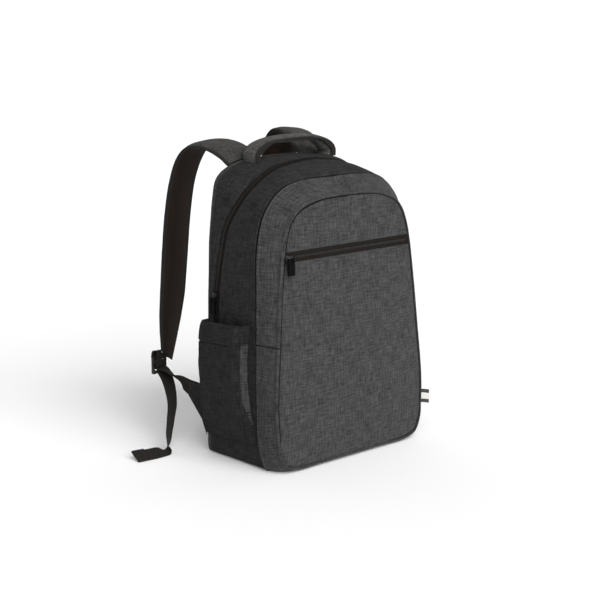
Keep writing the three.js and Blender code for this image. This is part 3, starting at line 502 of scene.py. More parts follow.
# Sews a row of stitches along a path; ups point away from the cloth there
def sew(path, ups):
    path = np.asarray(path, float)
    run = runOf(path)
    count = max(int(run[-1] / stitch["pitch"]), 1)
    begin = (np.arange(count) + 0.15) * run[-1] / count
    ups = np.broadcast_to(np.asarray(ups, float), path.shape)
    above = unit(atRun(ups, run, begin + stitch["length"] / 2))
    start = atRun(path, run, begin) + above * stitch["lift"]
    end = atRun(path, run, begin + stitch["length"]) + above * stitch["lift"]
    stitchParts.append(rods(start, end, above, stitch["wide"], stitch["high"], 5))


def joinParts(parts):
    corners, groups, total = [], {}, 0
    for places, faces in parts:
        corners.append(places)
        for group in faces:
            groups.setdefault(group.shape[1], []).append(group + total)
        total += len(places)
    return np.concatenate(corners), [np.concatenate(group) for group in groups.values()]


bag = {
    "half": 0.150, "front": -0.08435, "back": 0.08435, "depth": 0.1687, "height": 0.448,
    "lean": 0.020, "wall": 1.6 * mm, "cadWall": 2.5 * mm, "pad": 9 * mm, "gap": 0.3 * mm,
    "swell": 3 * mm, "wideSwell": 4 * mm, "crossRow": 7, "baseRow": 5, "rowSteps": 40
}
# Half outlines of the seams from the middle of the base to the crown: shares of half the
# width, of the height, and of the depth from the back
backRows = (
    (0, 0, 0), (0.5, 0, 0), (0.933, 0, 0), (0.983, 0.006, 0), (1, 0.025, 0), (1, 0.076, 0),
    (0.99, 0.223, 0), (0.98, 0.424, 0), (0.972, 0.572, 0), (0.955, 0.719, 0),
    (0.937, 0.793, 0), (0.91, 0.871, 0), (0.863, 0.933, 0), (0.767, 0.963, 0),
    (0.56, 0.988, 0), (0.28, 0.997, 0), (0, 1, 0))
middleRows = (
    (0, 0, 0.779), (0.5, 0, 0.779), (0.893, 0, 0.779), (0.973, 0.009, 0.779),
    (1, 0.04, 0.761), (1.003, 0.094, 0.716), (1.01, 0.223, 0.708), (1.01, 0.424, 0.708),
    (1.008, 0.575, 0.708), (1.003, 0.719, 0.708), (0.977, 0.781, 0.708),
    (0.913, 0.844, 0.708), (0.817, 0.886, 0.708), (0.693, 0.919, 0.708),
    (0.507, 0.938, 0.708), (0.253, 0.945, 0.708), (0, 0.946, 0.708))
frontRows = (
    (0, 0.011), (0.467, 0.011), (0.745, 0.011), (0.903, 0.026), (0.983, 0.073),
    (1.003, 0.129), (1.013, 0.223), (0.963, 0.424), (0.92, 0.575), (0.867, 0.719),
    (0.833, 0.772), (0.773, 0.821), (0.68, 0.855), (0.547, 0.876), (0.367, 0.89),
    (0.18, 0.894), (0, 0.895))
mainZipRows = (
    (0.99, 0.424, 0.132), (0.987, 0.572, 0.147), (0.985, 0.721, 0.227),
    (0.967, 0.786, 0.263), (0.907, 0.862, 0.352), (0.8, 0.909, 0.384),
    (0.673, 0.941, 0.396), (0.493, 0.973, 0.399), (0.247, 0.991, 0.399), (0, 0.998, 0.399))


def frontFace(z):
    return bag["front"] + bag["lean"] * z / bag["height"]


def seamCurve(rows, closed, depthOf):
    left = [(-row[0] * bag["half"], depthOf(row), row[1] * bag["height"]) for row in rows]
    right = [(-x, y, z) for x, y, z in (left[1:-1] if closed else left[:-1])[::-1]]
    points = spline(left + right, bag["rowSteps"], closed)
    points[:, 2] = np.maximum(points[:, 2], 0)
    return {"points": points, "first": 0 if closed else bag["crossRow"], "closed": closed}


def byDepth(row):
    return bag["back"] - row[2] * bag["depth"]


backSeam = seamCurve(backRows, True, byDepth)
middleSeam = seamCurve(middleRows, True, byDepth)
frontSeam = seamCurve(frontRows, True, lambda row: frontFace(row[1] * bag["height"]))
zipSeam = seamCurve(mainZipRows, False, byDepth)


# Points of a seam at row numbers t, which may lie between two rows
def at(seam, t):
    place = (np.asarray(t, float) - seam["first"]) * bag["rowSteps"]
    n = len(seam["points"])
    low = np.floor(place).astype(int)
    if seam["closed"]:
        a, b = low % n, (low + 1) % n
    else:
        a, b = np.clip(low, 0, n - 1), np.clip(low + 1, 0, n - 1)
    share = (place - low)[:, None]
    return seam["points"][a] * (1 - share) + seam["points"][b] * share


def outward(points):
    way = np.gradient(points, axis=0)
    return unit(np.stack([-way[:, 2], np.zeros(len(way)), way[:, 0]], 1))


def sampleRows(rear, front, low, high, spacing):
    t = np.linspace(low, high, 1600)
    run = runOf((at(rear, t) + at(front, t)) / 2)
    wanted = np.linspace(0, run[-1], int(run[-1] / spacing) + 1)
    near = np.array([0.6, 1.3]) * mm
    wanted = np.sort(np.concatenate([wanted, near, run[-1] - near]))
    return np.interp(wanted, run, t), wanted


# Moves points towards others: by a distance, or until they lie so much further back
def towards(points, others, distance):
    return points + unit(others - points) * distance


def setBack(points, others, depth):
    share = depth / np.abs(others[:, 1] - points[:, 1])
    return points + (others - points) * share[:, None]


def seamEdge(d):
    return -2.6 * mm * bell(d, 0, 1.1 * mm) + 1.6 * mm * bell(d, 2.8 * mm, 1.5 * mm)


# Rounded shoulder of cloth beside a seam, without the dip
def lipEdge(d):
    return -2.2 * mm * bell(d, 0, 0.9 * mm) + 2.0 * mm * bell(d, 2.9 * mm, 1.8 * mm)


def rollEdge(d):
    return 1.2 * mm * bell(d, 1.2 * mm, 2.2 * mm) - 1.2 * mm * bell(d, 6.5 * mm, 3.4 * mm)


# Steps of the rolled edge from the seam: forwards and into the bag, in millimetres
roll = {"steps": ((0.9, 0.1), (1.5, 0.5), (1.7, 1.1), (1.3, 1.7), (0.3, 2.1), (-1.0, 2.2),
                  (-2.8, 2.2)),
        "core": (0.1, 1.0), "spacing": 0.9 * mm, "inner": 0.4}
leaning = unit(np.array([0, -1, bag["lean"] / bag["height"]]))  # out of the front panel


# A strip of cloth with its front edge rolled over the seam
def rolled(strip, seam):
    outer, inner, flat = strip[:3]
    step = lambda a, b: seam + leaning * a * mm - outward(seam) * b * mm
    core = step(*roll["core"])
    more = [step(a, b) for a, b in roll["steps"]]
    under = [core + (place - core) * roll["inner"] for place in more[:-2]]
    under += [step(a, b - 1.0) for a, b in roll["steps"][-2:]]
    further = np.arange(1, len(more) + 1) * roll["spacing"]
    reach = flat[:, -1:, :] + np.stack([further * 0, further], -1)[None]
    outer = np.concatenate([outer, np.stack(more, 1)], 1)
    inner = np.concatenate([inner, np.stack(under, 1)], 1)
    for layer in (outer, inner):
        layer[:, :, 2] = np.maximum(layer[:, :, 2], overFloor)
    return outer, inner, np.concatenate([flat, reach], 1)


# Dip of the cloth at a strip's two ends, where a cross seam joins it to the next one
def crossSeam(u, length):
    d = np.minimum(u, length - u)
    return -1.9 * mm * bell(d, 0, 0.9 * mm) + 0.5 * mm * bell(d, 3.2 * mm, 1.8 * mm)


def zipEdge(d):
    return (-0.9 * mm * bell(d, 0, 0.5 * mm) + 0.5 * mm * bell(d, 1.8 * mm, 1.2 * mm)
            - 0.45 * mm * bell(d, 4.2 * mm, 0.6 * mm))


def flatEdge(d):
    return -0.5 * mm * bell(d, 0, 0.5 * mm)


overFloor = 0.2 * mm
edgeSteps = np.array([0, 0.4, 0.9, 1.5, 2.1, 2.8, 3.6, 4.6, 5.8]) * mm


# A strip of cloth between two seams: swell is how far it bellies out along its length
def clothStrip(rear, front, run, swell, rearEdge, frontEdge, spacing=3.2 * mm, folds=1.0,
               shift=0, extra=None):
    across = front - rear
    width = np.linalg.norm(across, axis=1)[:, None]
    steps = edgeSteps[None, :] * np.minimum(1, width / (16 * mm))
    inner = max(int((width.max() - 11.6 * mm) / spacing), 2)
    between = np.linspace(0, 1, inner + 2)[1:-1][None, :]
    middle = steps[:, -1:] + (width - 2 * steps[:, -1:]) * between
    d = np.concatenate([steps, middle, width - steps[:, ::-1]], 1)
    share = (d / width)[:, :, None]
    out = unit(outward(rear)[:, None, :] * (1 - share) + outward(front)[:, None, :] * share)
    share = share[:, :, 0]
    u, v = np.broadcast_to(run[:, None], d.shape), d
    lift = np.reshape(swell, (-1, 1)) * 4 * share * (1 - share)
    calm = np.clip(np.minimum(d, width - d) / (9 * mm), 0, 1)
    lift = lift + folds * calm * (0.7 * mm * uneven(u, v, 38 * mm, shift)
                                  + 0.25 * mm * uneven(u, v, 13 * mm, shift + 3))
    for edge, gone in ((rearEdge, d), (frontEdge, width - d)):
        lift = lift + edge(gone)
        if edge is seamEdge:
            ripple = np.sin(u * 2 * math.pi / (8.5 * mm) + 3 * uneven(u, v * 0, 30 * mm, 5))
            lift = lift + 0.22 * mm * ripple * bell(gone, 4.2 * mm, 2.6 * mm)
    if extra is not None:
        lift = lift + extra(u / run[-1], share, u)
    outer = rear[:, None, :] + across[:, None, :] * share[:, :, None] + out * lift[:, :, None]
    inner = outer - out * bag["wall"]
    outer[:, :, 2] = np.maximum(outer[:, :, 2], overFloor)
    inner[:, :, 2] = np.maximum(inner[:, :, 2], overFloor + 0.7 * mm)
    return outer, inner, np.stack([u, v], -1), out


# Marks the faces of a strip that take the near-black seam finish, painted shade standing in for
# the dark of its seams: so many columns at its rear and front, and so many rows at its ends
def paintedShadeFaces(outer, rear, front, ends, gaping=True):
    kind = np.zeros((outer.shape[0] - 1, outer.shape[1] - 1), int)
    kind[:, :rear] = 1
    kind[:, kind.shape[1] - front:] = np.broadcast_to(gaping, len(kind))[:, None]
    kind[:ends] = 1
    kind[kind.shape[0] - ends:] = 1
    return kind


# Places of two seams at the same row numbers, and the run between them
def seamPair(rear, front, low, high, spacing):
    t, run = sampleRows(rear, front, low, high, spacing)
    return t, run, at(rear, t), at(front, t)


gusset = {"spacing": 2.6 * mm, "zipWidth": 15 * mm, "bellyFrom": 0.07, "bellyOver": 0.13,
          "rearStitch": -7, "frontStitch": 6}


def buildMainGussets():
    low, high = bag["crossRow"], 32 - bag["crossRow"]
    half, beside = bag["gap"] / 2, gusset["zipWidth"] / 2
    t, run, back, zipLine = seamPair(backSeam, zipSeam, low, high, gusset["spacing"])
    edge = setBack(back, at(middleSeam, t), bag["pad"] + bag["gap"])
    strip = clothStrip(edge, towards(zipLine, back, beside), run, bag["swell"], seamEdge,
                       zipEdge, shift=1)
    shellPiece("rearGusset", strip, "side", "side_fabric", "rear_gusset")
    sew(strip[0][:, gusset["rearStitch"]], strip[3][:, gusset["rearStitch"]])

    t, run, zipLine, middle = seamPair(zipSeam, middleSeam, low, high, gusset["spacing"])
    share = run / run[-1]
    rise = (np.minimum(share, 1 - share) - gusset["bellyFrom"]) / gusset["bellyOver"]
    rise = np.clip(rise, 0, 1)
    strip = clothStrip(towards(zipLine, middle, beside), towards(middle, at(backSeam, t), half),
                       run, bag["wideSwell"] * rise * rise * (3 - 2 * rise), zipEdge, seamEdge,
                       shift=2)
    # the three columns beside the middle seam take the seam finish: painted seam shade
    shellPiece("frontGusset", strip, "side", "side_fabric", "front_gusset",
               paintedShadeFaces(strip[0], 0, 3, 0))
    sew(strip[0][:, gusset["frontStitch"]], strip[3][:, gusset["frontStitch"]])


# Shares of the crown strip's length, width and depth of its dents, and the crease at their end
crownDents = ((0.36, 0.10, 0.7), (0.50, 0.045, 2.0), (0.72, 0.08, 0.8))
crease = {"at": 0.523, "slant": 26 * mm, "run": 75 * mm, "end": 4 * mm, "deep": 4.6 * mm,
          "ridge": 0.9 * mm, "widening": 0.35}


def creased(across, u, length):
    line = u - length * crease["at"] - (across - 0.5) * crease["slant"]
    rise = np.clip(line / crease["run"] + 1, 0, 1)
    wide = np.sin(np.clip(across / crease["widening"], 0, 1) * math.pi / 2) ** 2
    dent = rise * rise * np.clip(1 - line / crease["end"], 0, 1) * wide
    ridge = bell(line, 6 * mm, 5 * mm) + 0.5 * bell(line, 13 * mm, 10 * mm)
    soft = np.clip(across * 5, 0, 1) * np.clip((1 - across) * 6, 0, 1)
    return soft * (crease["ridge"] * ridge - crease["deep"] * np.clip(dent, 0, 1))


def buildPocketGussets():
    low, high = bag["crossRow"], 32 - bag["crossRow"]
    for name, node, first, last, shift in (
            ("pocketGussetUpper", "pocket_gusset_upper", low, high, 3),
            ("pocketGussetLower", "pocket_gusset_lower", -low, low, 4)):
        t, run, middle, front = seamPair(middleSeam, frontSeam, first, last, 2.4 * mm)
        dents = crownDents if first > 0 else ()
        swell = bag["swell"] * (1 - sum(depth * bell(run / run[-1], where, width)
                                        for where, width, depth in dents))

        def relief(along, across, u):
            seams = crossSeam(u, run[-1])
            return creased(across, u, run[-1]) + seams if first > 0 else seams

        strip = clothStrip(towards(middle, front, bag["gap"] / 2), front, run, swell, lipEdge,
                           rollEdge, shift=shift, extra=relief)
        strip = rolled(strip, front)
        # faces beside the middle seam, at the cross seams and, left of 30 mm and above 30 mm,
        # beside the front seam take the seam finish: painted seam shade
        line = strip[0][:-1, 0]
        gaping = (line[:, 0] < 30 * mm) & (line[:, 2] > 30 * mm)
        shellPiece(name, strip, "front", "front_fabric", node,
                   paintedShadeFaces(strip[0], 2, 2, 1, gaping))


def buildBase():
    low = bag["crossRow"]
    for name, nodes, first, last, edge, folds, shift in (
            ("basePanel", ("base_panel",), -bag["baseRow"], bag["baseRow"], flatEdge, 0.3, 5),
            ("sidePanel", ("side_panel_left", "side_panel_right"), bag["baseRow"], low, seamEdge,
             0.4, 6)):
        t, run, back, middle = seamPair(backSeam, middleSeam, first, last, 3 * mm)
        strip = clothStrip(setBack(back, middle, bag["pad"] + bag["gap"]),
                           towards(middle, back, bag["gap"] / 2), run, 0, edge, edge, 4 * mm,
                           folds, shift)
        for node, side in zip(nodes, ("left", "right")):
            full = name if len(nodes) == 1 else name + side.capitalize()
            shell = [sided(side, layer) for layer in strip[:2]] + [strip[2]]
            shellPiece(full, shell, "side", "side_fabric", node)
    print("gussets, base and sides")


# Distance from points to the nearest of the segments between following path points
def distanceTo(points, path):
    best = np.full(len(points), 1e9)
    for a, b in zip(path[:-1], path[1:]):
        way = b - a
        share = np.clip(((points - a) @ way) / max(way @ way, 1e-15), 0, 1)
        best = np.minimum(best, np.linalg.norm(points - a - share[:, None] * way, axis=1))
    return best


# Flat cloth inside a rim, as points with their distance to it, and triangles
def flatMesh(rim, spacing, rings):
    way = np.roll(rim, -1, 0) - np.roll(rim, 1, 0)
    normal = unit(np.stack([-way[:, 1], way[:, 0]], 1))
    area = np.sum(rim[:, 0] * np.roll(rim[:, 1], -1) - np.roll(rim[:, 0], -1) * rim[:, 1])
    if area < 0:
        normal = -normal
    loop = np.concatenate([rim, rim[:1]])
    points = [rim]
    for ring in rings:
        moved = rim + normal * ring
        points.append(moved[distanceTo(moved, loop) > ring * 0.93])
    low, high = rim.min(0), rim.max(0)
    xs, ys = np.arange(low[0], high[0], spacing), np.arange(low[1], high[1], spacing * 0.87)
    gridX, gridY = np.meshgrid(xs, ys)
    gridX = gridX + (np.arange(len(ys)) % 2)[:, None] * spacing / 2
    grid = np.stack([gridX.ravel(), gridY.ravel()], 1)
    points.append(grid[distanceTo(grid, loop) > rings[-1] + spacing * 0.5])
    points = np.concatenate(points)
    edges = [(i, (i + 1) % len(rim)) for i in range(len(rim))]
    places, _, faces, _, _, _ = delaunay_2d_cdt(
        [Vector(p) for p in points], edges, [], 1, 1e-7)
    places = np.array([tuple(p) for p in places])
    return places, np.array([face[:] for face in faces])


# Outer and inner layers over a flat mesh, joined round its rim
def layered(outer, inner, faces):
    n = len(outer)
    edges = np.concatenate([faces[:, [0, 1]], faces[:, [1, 2]], faces[:, [2, 0]]])
    key = np.sort(edges, axis=1) @ np.array([n, 1])
    _, first, count = np.unique(key, return_index=True, return_counts=True)
    rim = edges[first[count == 1]]
    side = np.stack([rim[:, 1], rim[:, 0], rim[:, 0] + n, rim[:, 1] + n], 1)
    return (np.concatenate([outer, inner]), [np.concatenate([faces, faces[:, ::-1] + n]), side])


frontZip = {"height": 0.319, "width": 15 * mm, "stitch": 11.7 * mm}
fineRings = np.array([0.4, 0.9, 1.5, 2.3, 3.1, 4.0, 5.2, 6.8]) * mm


# dark and darkFrom: faces nearer the seam than dark times the gape, less darkFrom, take the
# near-black seam finish, painted shade of the seam valley
frontSeamDip = {"deep": 3.1 * mm, "wide": 2.6 * mm, "dark": 3.5 * mm, "darkFrom": 0.7 * mm}


# How far the front seam gapes: on the left and in the lower right corner, but not along the base
def gapeAt(x, z):
    fromLeft = np.interp(x, (-90 * mm, 60 * mm), (1, 0.4))
    corner = np.interp(x, (50 * mm, 110 * mm), (0, 1)) * np.interp(z, (30 * mm, 70 * mm), (1, 0))
    return np.maximum(fromLeft * np.interp(z, (20 * mm, 60 * mm), (0.35, 1)), 0.62 * corner)


# Panel inside the seam's path and the zip's: crown is how far it bellies out within reach
def frontPanel(name, node, seamPath, zipPath, crown, reach, shift):
    rim = np.concatenate([seamPath, zipPath[1:-1]])
    places, faces = flatMesh(rim, 4 * mm, fineRings)
    x, z = places[:, 0], places[:, 1]
    fromSeam, fromZip = distanceTo(places, seamPath), distanceTo(places, zipPath)
    near = np.minimum(fromSeam, fromZip)
    full = 1 - (1 - np.clip(near / reach, 0, 1)) ** 2
    calm = np.clip(near / (10 * mm), 0, 1)
    ripple = np.sin((x + z) * 2 * math.pi / (9 * mm) + 3 * uneven(x, z, 30 * mm, 5))
    gape, dip = gapeAt(x, z), frontSeamDip
    lift = (crown * full - dip["deep"] * gape * bell(fromSeam, 0, dip["wide"]) + zipEdge(fromZip)
            + calm * (1.0 * mm * uneven(x, z, 70 * mm, shift)
                      + 0.35 * mm * uneven(x, z, 24 * mm, shift + 2))
            + 0.16 * mm * ripple * bell(fromSeam, 4.5 * mm, 2.6 * mm))
    outer = np.stack([x, frontFace(z) - lift, z], 1)
    corners, groups = layered(outer, outer + np.array([0, bag["wall"], 0]), faces)
    # faces within the gaping seam, their inner layer too, and all rim walls take the seam finish:
    # painted shade
    dark = (fromSeam + dip["darkFrom"] < dip["dark"] * gape)[faces].mean(1) > 0.5
    kinds = np.concatenate([dark, dark, np.ones(len(groups[1]), bool)])
    piece = meshPiece(name, corners, groups, places, ["front", "seam"], kinds)
    belong(piece, "front_fabric", node)


frontInset = 2.4 * mm


def inset(half):
    moved = half - outward(half) * frontInset
    moved[:, 0] = np.minimum(moved[:, 0], 0)
    return moved[:, [0, 2]]


def frontOutline():
    t = np.linspace(0, 16, 3000)
    half = at(frontSeam, t)
    z = half[:, 2]
    top = frontZip["height"] + frontZip["width"] / 2
    low = frontZip["height"] - frontZip["width"] / 2
    upper = half[(z > top) & (t > 4)]
    lower = half[(z < low) & (t < 13)]
    edge = lambda height: np.interp(height, z[t > 4], half[t > 4, 0])
    return (np.concatenate([[[edge(top) + frontInset, top]], inset(upper)]),
            np.concatenate([inset(lower), [[edge(low) + frontInset, low]]]))


def buildFront():
    upper, lower = frontOutline()
    upper, lower = evenly(upper, 2.4 * mm), evenly(lower, 2.4 * mm)
    other = lambda half: half[::-1] * np.array([-1, 1])
    crown = np.concatenate([upper, other(upper)[1:]])
    line = evenly(np.array([crown[-1], crown[0]]), 2.4 * mm)
    frontPanel("frontPanelUpper", "front_panel_upper", crown, line, 4 * mm, 45 * mm, 7)
    foot = np.concatenate([other(lower), lower[1:]])
    line = evenly(np.array([foot[-1], foot[0]]), 2.4 * mm)
    frontPanel("frontPanelLower", "front_panel_lower", foot, line, 8 * mm, 110 * mm, 8)
    for z in (frontZip["height"] + frontZip["stitch"], frontZip["height"] - frontZip["stitch"]):
        half, y = frontHalf(z) - 4 * mm, frontFace(z) + 0.2 * mm
        sew(evenly(np.array([(-half, y, z), (half, y, z)]), 4 * mm), leaning)
    print("front panels")


backPad = {"crown": 5 * mm, "crownReach": 60 * mm, "highest": 7 * mm, "channel": 3.2 * mm,
           "channelWidth": 4.5 * mm, "edge": 22 * mm, "edgeFade": 12 * mm, "aside": 36 * mm,
           "across": (0.12, 0.23, 0.34), "puff": 4 * mm}


def buildBack():
    t, _ = sampleRows(backSeam, backSeam, 0, 32, 3 * mm)
    ring = at(backSeam, t)[:-1]
    rim = ring[:, [0, 2]]
    places, faces = flatMesh(rim, 5 * mm, np.array([0.6, 1.4, 2.4, 3.6, 5.2, 7.5]) * mm)
    x, z = places[:, 0], places[:, 1]
    near = distanceTo(places, np.concatenate([rim, rim[:1]]))
    full = 1 - (1 - np.clip(near / backPad["crownReach"], 0, 1)) ** 2
    within = np.clip((near - backPad["edge"]) / backPad["edgeFade"], 0, 1)
    # sewn channels: one round the edge, two upright and three across each outer field
    groove = bell(near, backPad["edge"], 3 * mm)
    aside = np.abs(x)
    lines = [aside - backPad["aside"]]
    lines += [np.where(aside > backPad["aside"], z - high, 1) for high in backPad["across"]]
    for line in lines:
        groove = np.maximum(groove, bell(line, 0, backPad["channelWidth"]) * within)
    lift = (backPad["crown"] * full - backPad["channel"] * groove
            - 2.2 * mm * bell(near, 0, 1.3 * mm) + 0.6 * mm * uneven(x, z, 45 * mm, 9))
    lift = np.minimum(lift, backPad["highest"])
    outer = np.stack([x, bag["back"] + lift, z], 1)
    inner = np.stack([x, np.full(len(x), bag["back"] - bag["pad"]), z], 1)
    corners, groups = layered(outer, inner, faces)
    piece = meshPiece("backPad", corners, groups, places, "backMesh")
    sewn = (groove > 0.35) | (near < 3 * mm)
    puff(piece, np.concatenate([sewn, np.ones(len(sewn), bool)]), backPad["puff"])
    belong(piece, "padded_lining", "back_panel")
    print("back pad")


coil = {"pitch": 1.5 * mm, "reach": 2.45 * mm, "wide": 0.42 * mm, "high": 0.62 * mm,
        "cross": 0.5 * mm}


# Interlocking teeth on both sides of a path; beside points across it and up away from it
def zipTeeth(path, beside, up):
    run = runOf(path)
    count = int(run[-1] / coil["pitch"])
    parts = []
    for side in (-1, 1):
        where = (np.arange(count) + (0.25 if side < 0 else 0.75)) * coil["pitch"]
        middle = atRun(path, run, where)
        across, above = (unit(atRun(values, run, where)) for values in (beside, up))
        start = middle + across * side * coil["reach"]
        end = middle - across * side * coil["cross"]
        parts.append(rods(start, end, above, coil["wide"], coil["high"]))
    return parts


mainTape = {"half": 7.4 * mm, "sunk": 0.9 * mm, "sliderHeight": 0.246, "above": 7 * mm}
# Section of the front tape from edge to edge: up it and into the bag, in millimetres
frontTapeRows = ((-7.2, 1.2), (-6.4, 0.95), (-3.4, 0.8), (-3.0, 0.9), (0, 0.8), (3.0, 0.9),
                 (3.4, 0.8), (6.4, 0.95), (7.2, 1.2))
panelUp = unit(np.array([0, bag["lean"] / bag["height"], 1]))


# Half width of the front seam at a height
def frontHalf(z):
    rows = at(frontSeam, np.linspace(4, 14, 900))
    return np.interp(z, rows[:, 2], -rows[:, 0])


def coilPiece(name, node, path, beside, up, flatAxes):
    corners, groups = joinParts(zipTeeth(path, beside, up))
    piece = meshPiece(name, corners, groups, corners[:, flatAxes], "coil", angle=60)
    belong(piece, "zip_coil", node)


def buildZips():
    low, high = bag["crossRow"], 32 - bag["crossRow"]
    t, run = sampleRows(zipSeam, zipSeam, low, high, gusset["spacing"])
    line = at(zipSeam, t)
    out = outward(line)
    rear, front = (towards(line, at(seam, t), mainTape["half"]) - out * mainTape["sunk"]
                   for seam in (backSeam, middleSeam))
    strip = clothStrip(rear, front, run, 0, flatEdge, flatEdge, 2.4 * mm, 0.0)
    shellPiece("mainZipTape", strip, "zipTape", "zip_tape", "main_zip_tape")
    start = np.argmax(line[:, 2] > mainTape["sliderHeight"] + mainTape["above"])
    coilPiece("mainZipCoil", "main_zip_coil", line[start:] + out[start:] * 0.25 * mm,
              (front - rear)[start:], out[start:], [0, 1])

    z = frontZip["height"]
    half = frontHalf(z) - bag["cadWall"]
    path = evenly(np.array([(-half, frontFace(z), z), (half, frontFace(z), z)]), 3 * mm)
    outer = np.stack([path + panelUp * up * mm - leaning * depth * mm
                      for up, depth in frontTapeRows], 1)
    shellPiece("frontZipTape", (outer, outer - leaning * 1.0 * mm, outer[:, :, [2, 0]]),
               "zipTape", "zip_tape", "front_zip_tape")
    path = path[6:-2] + leaning * 0.2 * mm
    coilPiece("frontZipCoil", "front_zip_coil", path, np.broadcast_to(panelUp, path.shape),
              np.broadcast_to(leaning, path.shape), [0, 2])
    print("zips")


pocket = {"top": 0.217, "bottom": 0.033, "stand": 0.024, "long": 0.095, "hem": 0.165,
          "wall": 1.6 * mm, "mouthRise": 6 * mm, "mouthDroop": 3.5 * mm, "hemStep": 0.9 * mm,
          "hemGroove": 1.9 * mm, "ripple": 0.45 * mm, "sag": 1.3 * mm, "fold": 15 * mm,
          "foldGroove": 19 * mm}
# Side pocket from bottom to top: rise, stand-off, back and front as shares
pocketRows = (
    (0.00, 0.16, 0.035, 0.700), (0.07, 0.34, 0.035, 0.690), (0.20, 0.66, 0.035, 0.660),
    (0.36, 0.94, 0.035, 0.622), (0.55, 1.00, 0.035, 0.600), (0.72, 1.00, 0.035, 0.598),
    (0.86, 0.98, 0.035, 0.612), (0.94, 0.90, 0.035, 0.622), (1.00, 0.70, 0.035, 0.630))
pouch = ((0.00, 0.00), (0.01, 0.72), (0.10, 1.00), (0.50, 1.00), (0.76, 0.95), (0.86, 0.89),
         (0.90, 0.80), (0.92, 0.62), (0.955, 0.30), (0.99, 0.06), (1.00, 0.00))


def sideOf(seam, z):
    rows = at(seam, np.linspace(3, 16, 2400))
    return np.interp(z, rows[:, 2], -rows[:, 0])


def buildPockets():
    shares = spline(pocketRows, 14)
    rise = np.concatenate([np.linspace(0, 0.80, 56), np.linspace(0.804, 1, 44)])
    stand, back, front = (np.interp(rise, shares[:, 0], shares[:, k])[:, None] for k in (1, 2, 3))
    drawn = np.array([pocket["long"], pocket["stand"]])
    outline = evenly(spline(np.array(pouch) * drawn, 12), 1.5 * mm)
    run = runOf(outline)
    along, off = outline[:, 0] / drawn[0], np.clip(outline[:, 1] / drawn[1], 0, 1.1)
    z = (pocket["bottom"] + (pocket["top"] - pocket["bottom"]) * rise)[:, None]
    z = np.broadcast_to(z, (len(rise), len(along)))
    # the mouth rises by a few millimetres towards its front
    z = z + (along[None, :] - 0.5) * pocket["mouthRise"]
    z = z - pocket["mouthDroop"] * np.clip((rise[:, None] - 0.6) / 0.4, 0, 1)
    y0, y1 = bag["back"] - back * bag["depth"], bag["back"] - front * bag["depth"]
    y = y0 + (y1 - y0) * along[None, :]
    rear, fore = sideOf(backSeam, z), sideOf(middleSeam, z)
    slope = (bag["back"] - y) / (0.708 * bag["depth"])
    base = rear + (fore - rear) * slope
    tuck = np.clip(rise[:, None] / 0.035, 0, 1) ** 0.5
    body = np.clip(off[None, :] * 3, 0, 1)
    out = base + bag["gap"] + off[None, :] * stand * pocket["stand"] * tuck
    out = out + bag["cadWall"] * body * tuck
    u, v = np.broadcast_to(run[None, :], y.shape), z
    hemLine = 1 - pocket["hem"]
    belowHem = np.clip((hemLine - rise[:, None]) / hemLine, 0, 1)
    ripple = np.sin(u * 2 * math.pi / (10 * mm) + 4 * uneven(u, v, 30 * mm, 3))
    relief = (pocket["hemStep"] * np.clip((rise[:, None] - hemLine) / 0.012, 0, 1)
              - pocket["hemGroove"] * bell(rise[:, None], hemLine - 0.004, 0.006)
              + pocket["ripple"] * ripple * np.exp(-belowHem / 0.10) * (rise[:, None] < hemLine)
              + pocket["sag"] * uneven(u, v, 42 * mm, 11) * np.clip(belowHem * 4, 0, 1)
              + 0.4 * mm * uneven(u, v, 14 * mm, 12) * np.clip(belowHem * 6, 0, 1)
              - 1.1 * mm * bell(rise[:, None], 1.0, 0.006))
    toFront = (run[-1] - run)[None, :]
    relief = relief + 1.3 * mm * bell(toFront, pocket["fold"], 1.8 * mm)
    relief = (relief - 1.2 * mm * bell(toFront, pocket["foldGroove"], 1.6 * mm)) * body
    way = np.gradient(outline, axis=0)
    normal = unit(np.stack([way[:, 1], -way[:, 0]], 1))[None, :, :]
    if normal[0, len(along) // 2, 1] < 0:
        normal = -normal
    out = out + relief * normal[:, :, 1]
    y = y - relief * normal[:, :, 0]
    outer = np.stack([-out, y, z], -1)
    sunk = np.stack([-(out - normal[:, :, 1] * pocket["wall"]),
                     y + normal[:, :, 0] * pocket["wall"], z], -1)
    # beyond the front fold a narrow strip below the hem takes the lighter front cloth: painted
    # light on the fold that faces the light
    reach = np.interp(rise[:-1], (0.16, 0.36), (0.10, 0.42))[:, None]
    paintedFoldLight = ((along[:-1] > 0.5) & (off[:-1] > 0.10))[None, :] & (off[:-1][None, :] < reach)
    paintedFoldLight = paintedFoldLight & (rise[:-1] < hemLine)[:, None]
    row = np.argmin(np.abs(rise - (hemLine + 0.006)))
    up = np.stack([-normal[0, 4:-4, 1], -normal[0, 4:-4, 0], np.zeros(len(along) - 8)], 1)
    for side, node in (("left", "side_pocket_left"), ("right", "side_pocket_right")):
        shell = (sided(side, outer), sided(side, sunk), np.stack([u, v], -1))
        shellPiece("sidePocket" + side.capitalize(), shell, "pocket", "side_fabric", node, paintedFoldLight,
                   "front")
        sew(sided(side, outer[row, 4:-4]), sided(side, up))
    print("pockets")


def topOf(x, y):
    def heights(seam):
        rows = at(seam, np.linspace(bag["crossRow"], 32 - bag["crossRow"], 2400))
        return (np.interp(x, rows[:, 0], rows[:, 1]), np.interp(x, rows[:, 0], rows[:, 2]))
    (backY, backZ), (zipY, zipZ) = heights(backSeam), heights(zipSeam)
    return backZ + (zipZ - backZ) * (backY - y) / (backY - zipY)


